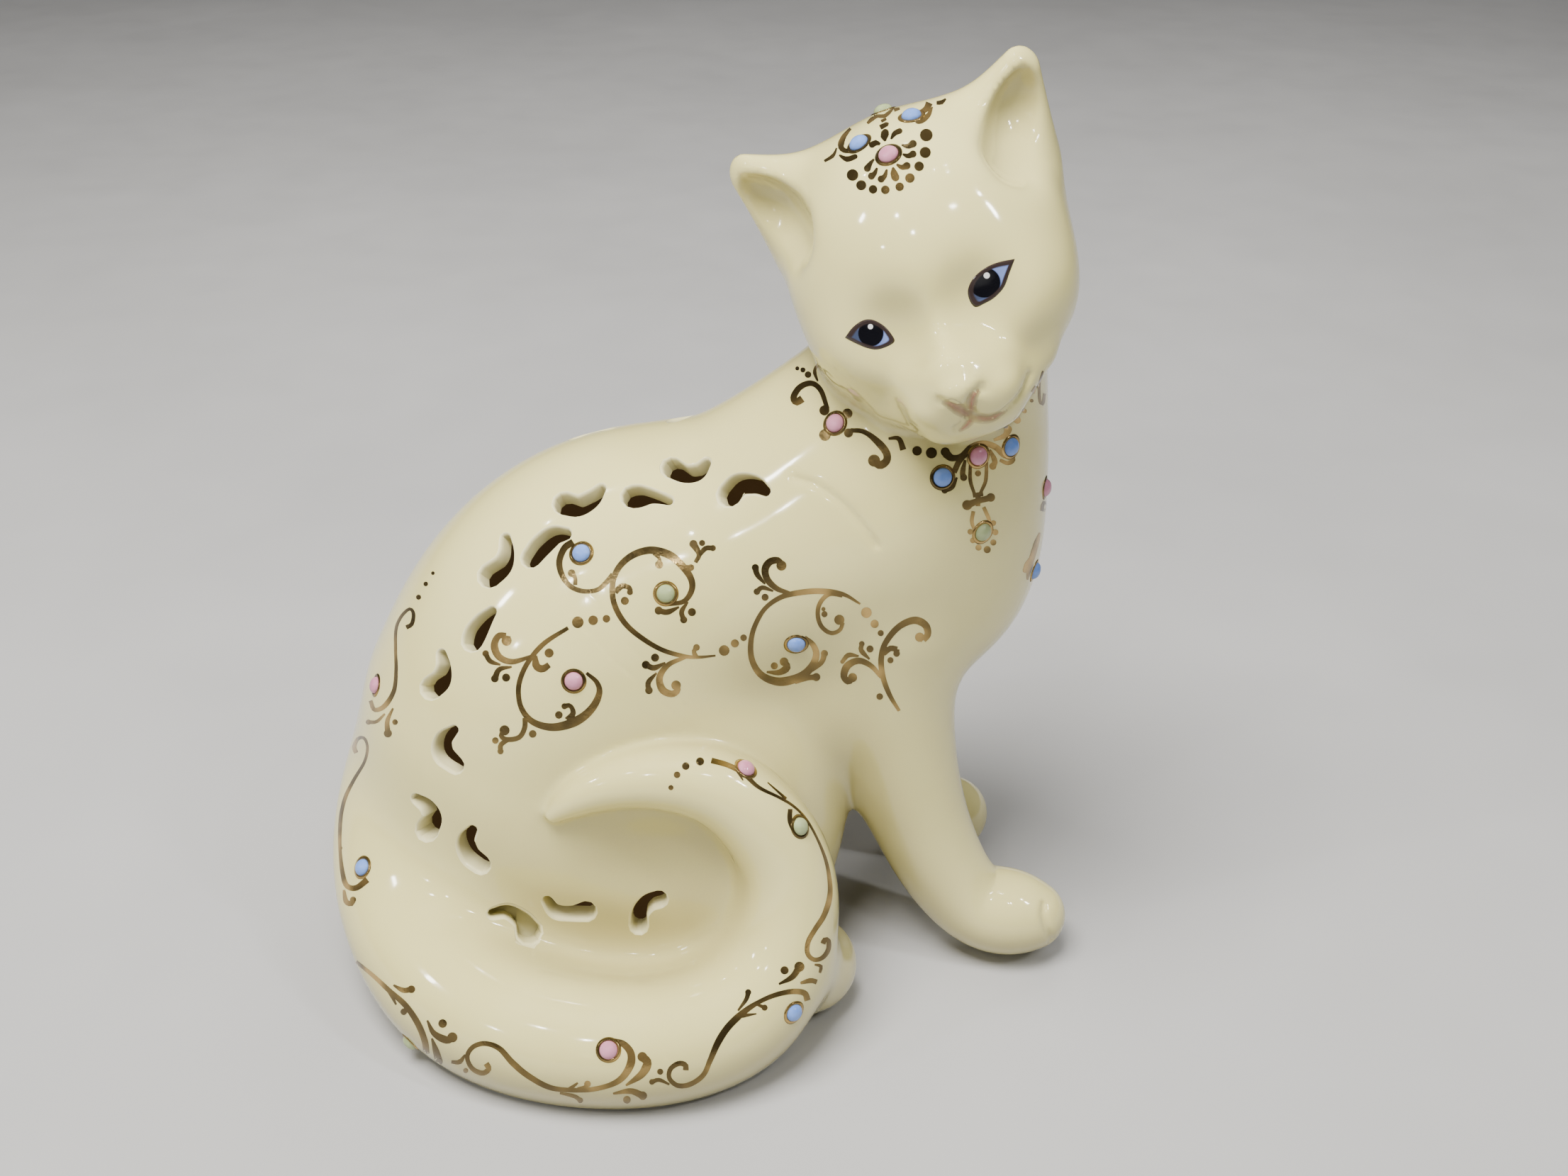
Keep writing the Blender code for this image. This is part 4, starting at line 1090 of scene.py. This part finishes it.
def leaf(name, strokes, dots, material, left=False, lift=0.05, fade=False):
    """One piece of thin drawing: ribbons with a ball where asked, and round dots, closed underneath."""
    ribbons = [ribbon_points(points, widths) for points, widths, _ in strokes]
    balls = [(*points[-1], ball) for points, _, ball in strokes if ball] + dots
    dot = np.vstack([[[0, 0]], circle(DOT_SIDES)])
    discs = [np.array([x, y]) + radius * dot for x, y, radius in balls]
    spots, facing = wrap(np.concatenate([run.reshape(-1, 2) for run in ribbons] + discs), left)
    verts, faces, tint, normals = [], [], [], []

    def add(i, height, shade):
        verts.append(spots[i] + facing[i] * height)
        normals.append(facing[i])
        tint.append(shade)
        return len(verts) - 1

    first = 0
    for run in ribbons:
        rows = []
        for n in range(len(run)):
            end = min(1.0, 4.0 * min(n + 0.4, len(run) - 0.6 - n) / len(run))
            section = ((0, lift * 0.5, 0), (1, lift, end), (2, lift * 0.5, 0), (1, ROOT, 0))
            rows.append([add(first + i, height, shade) for i, height, shade in section])
            first += 3
        faces += walls(rows) + [rows[0][::-1], rows[-1]]
    for _ in discs:
        top = add(first, lift * 1.4, 1)
        ring = [add(first + 1 + k, lift * 0.6, 0) for k in range(DOT_SIDES)]
        low = add(first, ROOT, 0)
        faces += fan(top, ring) + fan(low, ring[::-1])
        first += 1 + DOT_SIDES
    made = make_mesh(name, verts, faces, material)
    if fade:
        paint_values(made, tint)
    else:
        made.data.normals_split_custom_set_from_vertices(np.array(normals).tolist())
    return made


def bead(name, spot, facing, material):
    """A low dome of enamel."""
    flat = disc(facing, BEAD_SIDES) * BEAD_RADIUS
    verts = [spot + share * flat + facing * height for height, share in DOME] + [[spot + facing * DOME_TOP]]
    rows = ring_rows(BEAD_SIDES, len(DOME))
    faces = walls(rows) + fan(BEAD_SIDES * len(DOME), rows[-1]) + [rows[0][::-1]]
    made = make_mesh(name, np.concatenate(verts), faces, material)
    orient(made)
    return made


def bead_rings(name, places):
    """Gold rings round beads, as one piece."""
    verts, faces = [], []
    for spot, facing in places:
        rows = ring_rows(RING_SIDES, len(RING), len(verts))
        for radius, height in RING:
            rim = settle(cat, spot + radius * disc(facing, RING_SIDES))
            verts.extend(rim + slope(cat, rim) * height)
        faces += walls(rows + rows[:1])
    made = make_mesh(name, verts, faces, GOLD)
    orient(made)
    return made


def eye(side, drawn, pupil, half, glint):
    """A painted eye: one almond patch, with its paint laid out on the drawing."""
    edge = smooth_path(drawn + drawn[:1], 4)[:-1]
    middle = edge.mean(0)
    count = len(edge)
    flat = np.concatenate([middle + (edge - middle) * share for share, _ in PATCH] + [[middle]])
    shares, rise = np.vstack([np.repeat(PATCH, count, axis=0), PATCH_MIDDLE]).T
    spots, facing = wrap(flat)
    verts = list(spots + facing * rise[:, None]) + [spots[-1] + facing[-1] * EYE_ROOT]
    rows = ring_rows(count, len(PATCH))
    faces = walls(rows) + fan(len(spots) - 1, rows[-1]) + fan(len(spots), rows[0][::-1])
    paint = eye_paint(f"painted {side} eye paint", pupil, half, glint)
    made = make_mesh(f"painted_{side}_eye", verts, faces, paint, list(flat) + [middle])
    paint_values(made, [*shares, 0])
    orient(made)
    return made


# ---- press the creases, then dress the cat ----
def press(creases):
    """Lays the creases on the smooth clay, as GROOVES has them."""
    runs = []
    for points, radius, soft in creases:
        spots, _ = wrap(smooth_path(points, 5))
        runs.append((np.hstack([spots, np.full((len(spots), 1), radius)]).astype(np.float32), soft))
    return runs


def dress(piece):
    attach(piece, "root")
    return piece


GROOVES.extend(press(CREASES))
skin = build_skin()
pierce(skin)
polish(skin.data)
dress(skin)
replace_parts(skin, "body_shell", "head_shell", "tail")
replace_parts(skin, "foreleg_right", "foreleg_left", "hind_paw_right", "hind_paw_left")
dress(leaf("gold_scrolls_on_the_right_flank", FLANK, FLANK_DOTS, GOLD))
dress(leaf("gold_scrolls_on_the_left_flank", FLANK, FLANK_DOTS, GOLD, left=True))
dress(leaf("gold_vine_down_the_back", BACK, BACK_DOTS, GOLD))
dress(leaf("gold_vine_along_the_tail", TAIL_GOLD, TAIL_DOTS, GOLD))
dress(leaf("gold_collar", COLLAR, COLLAR_DOTS, GOLD))
dress(leaf("gold_daisy_on_the_crown", CROWN, CROWN_DOTS, GOLD))
dress(leaf("rose_wash_on_the_nose_and_mouth", ROSE, [], rose_wash(), lift=0.06, fade=True))
for side, drawing in EYES.items():
    dress(eye(side, *drawing))
ringed = []
for places, left in ((BEADS, False), (LEFT_BEADS, True)):
    for node, spot, way in zip(places, *wrap(list(places.values()), left)):
        colour = next(c for c in ENAMELS if c in node.split("_"))
        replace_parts(dress(bead(node, spot, way, ENAMELS[colour])), node)
        ringed.append((spot, way))
dress(bead_rings("gold_rings_round_the_beads", ringed))


# ---- stage, light and camera ----
LIT_POINT = np.array([0.0, 0.0, 80.0])
FLOOR_HALF, FLOOR_HEIGHT = 2500, -0.4
# Small lamps that are seen as highlights: (bearing, height, width, length, watts).
SPARKS = [
    (-28, 45, 55, 150, 3.4),
    (-26, 54, 50, 50, 1.2),
    (-128, 46, 40, 40, 0.8),
    (-109, 39, 44, 44, 0.9),
    (-65, 54, 90, 30, 1.2),
    (-158, 34, 50, 130, 2.0),
    (-134, 23, 30, 30, 0.4),
    (-40, 76, 14, 14, 0.14),
    (-20, 80, 14, 14, 0.14),
    (-70, 82, 14, 14, 0.14),
    (120, 68, 16, 16, 0.18),
    (168, 51, 16, 16, 0.18),
    (150, 60, 16, 16, 0.18),
]


def stage_floor():
    made, tree, inputs = new_material("pale floor", (40, 0.5, 0.7))
    link(tree, mottle(tree, 8, (0.42, 0.42, 0.42), (0.46, 0.46, 0.46)), inputs["Base Color"])
    around = ((-1, -1), (1, -1), (1, 1), (-1, 1))
    verts = [(x * FLOOR_HALF, y * FLOOR_HALF, FLOOR_HEIGHT) for x, y in around]
    make_mesh("floor", verts, [(0, 1, 2, 3)], made)


def lamp(name, spot, size, watts, mirrored=False, colour=(1, 0.97, 0.92)):
    """An area light aimed at the cat.  Only a mirrored one is seen as a highlight in the glaze."""
    light = bpy.data.lights.new(name, "AREA")
    light.shape = "RECTANGLE"
    light.size, light.size_y = size[0] * MM, size[1] * MM
    light.energy = watts
    light.color = colour
    made = new_object(name, light)
    way = LIT_POINT - np.array(spot, float)
    yaw = math.atan2(way[1], way[0]) - math.pi / 2
    pitch = math.atan2(math.hypot(way[0], way[1]), -way[2])
    made.rotation_euler = (pitch, 0, yaw)
    made.location = [c * MM for c in spot]
    made.visible_glossy = mirrored


def far_off(bearing, height, distance=1300):
    """A point seen from the cat at a bearing from +X and a height above level, in degrees."""
    a, b = math.radians(bearing), math.radians(height)
    level = distance * math.cos(b)
    return LIT_POINT + np.array([level * math.cos(a), level * math.sin(a), distance * math.sin(b)])


def backdrop():
    """A dim, even grey all round."""
    world = bpy.data.worlds.new("studio")
    world.use_nodes = True
    grey = world.node_tree.nodes["Background"].inputs
    grey["Color"].default_value = (0.5, 0.5, 0.52, 1)
    grey["Strength"].default_value = 0.12
    bpy.context.scene.world = world


def camera():
    """Looks from the eye point at the sheet's centre, with the photo's field of view."""
    data = bpy.data.cameras.new("camera")
    data.sensor_width = 36
    data.lens = 39.06
    data.clip_start = 0.01
    made = new_object("camera", data)
    made.location = EYE_POINT * MM
    made.rotation_euler = (math.radians(60), 0, 0)
    bpy.context.scene.camera = made


stage_floor()
lamp("key", (-190, -240, 940), (450, 450), 20)
lamp("fill", (-400, -800, 350), (600, 600), 0.9)
lamp("back", (150, 600, 700), (400, 400), 2)
for n, (bearing, height, width, length, watts) in enumerate(SPARKS):
    lamp(f"spark {n + 1}", far_off(bearing, height), (width, length), watts, True, (1, 1, 1))
backdrop()
camera()
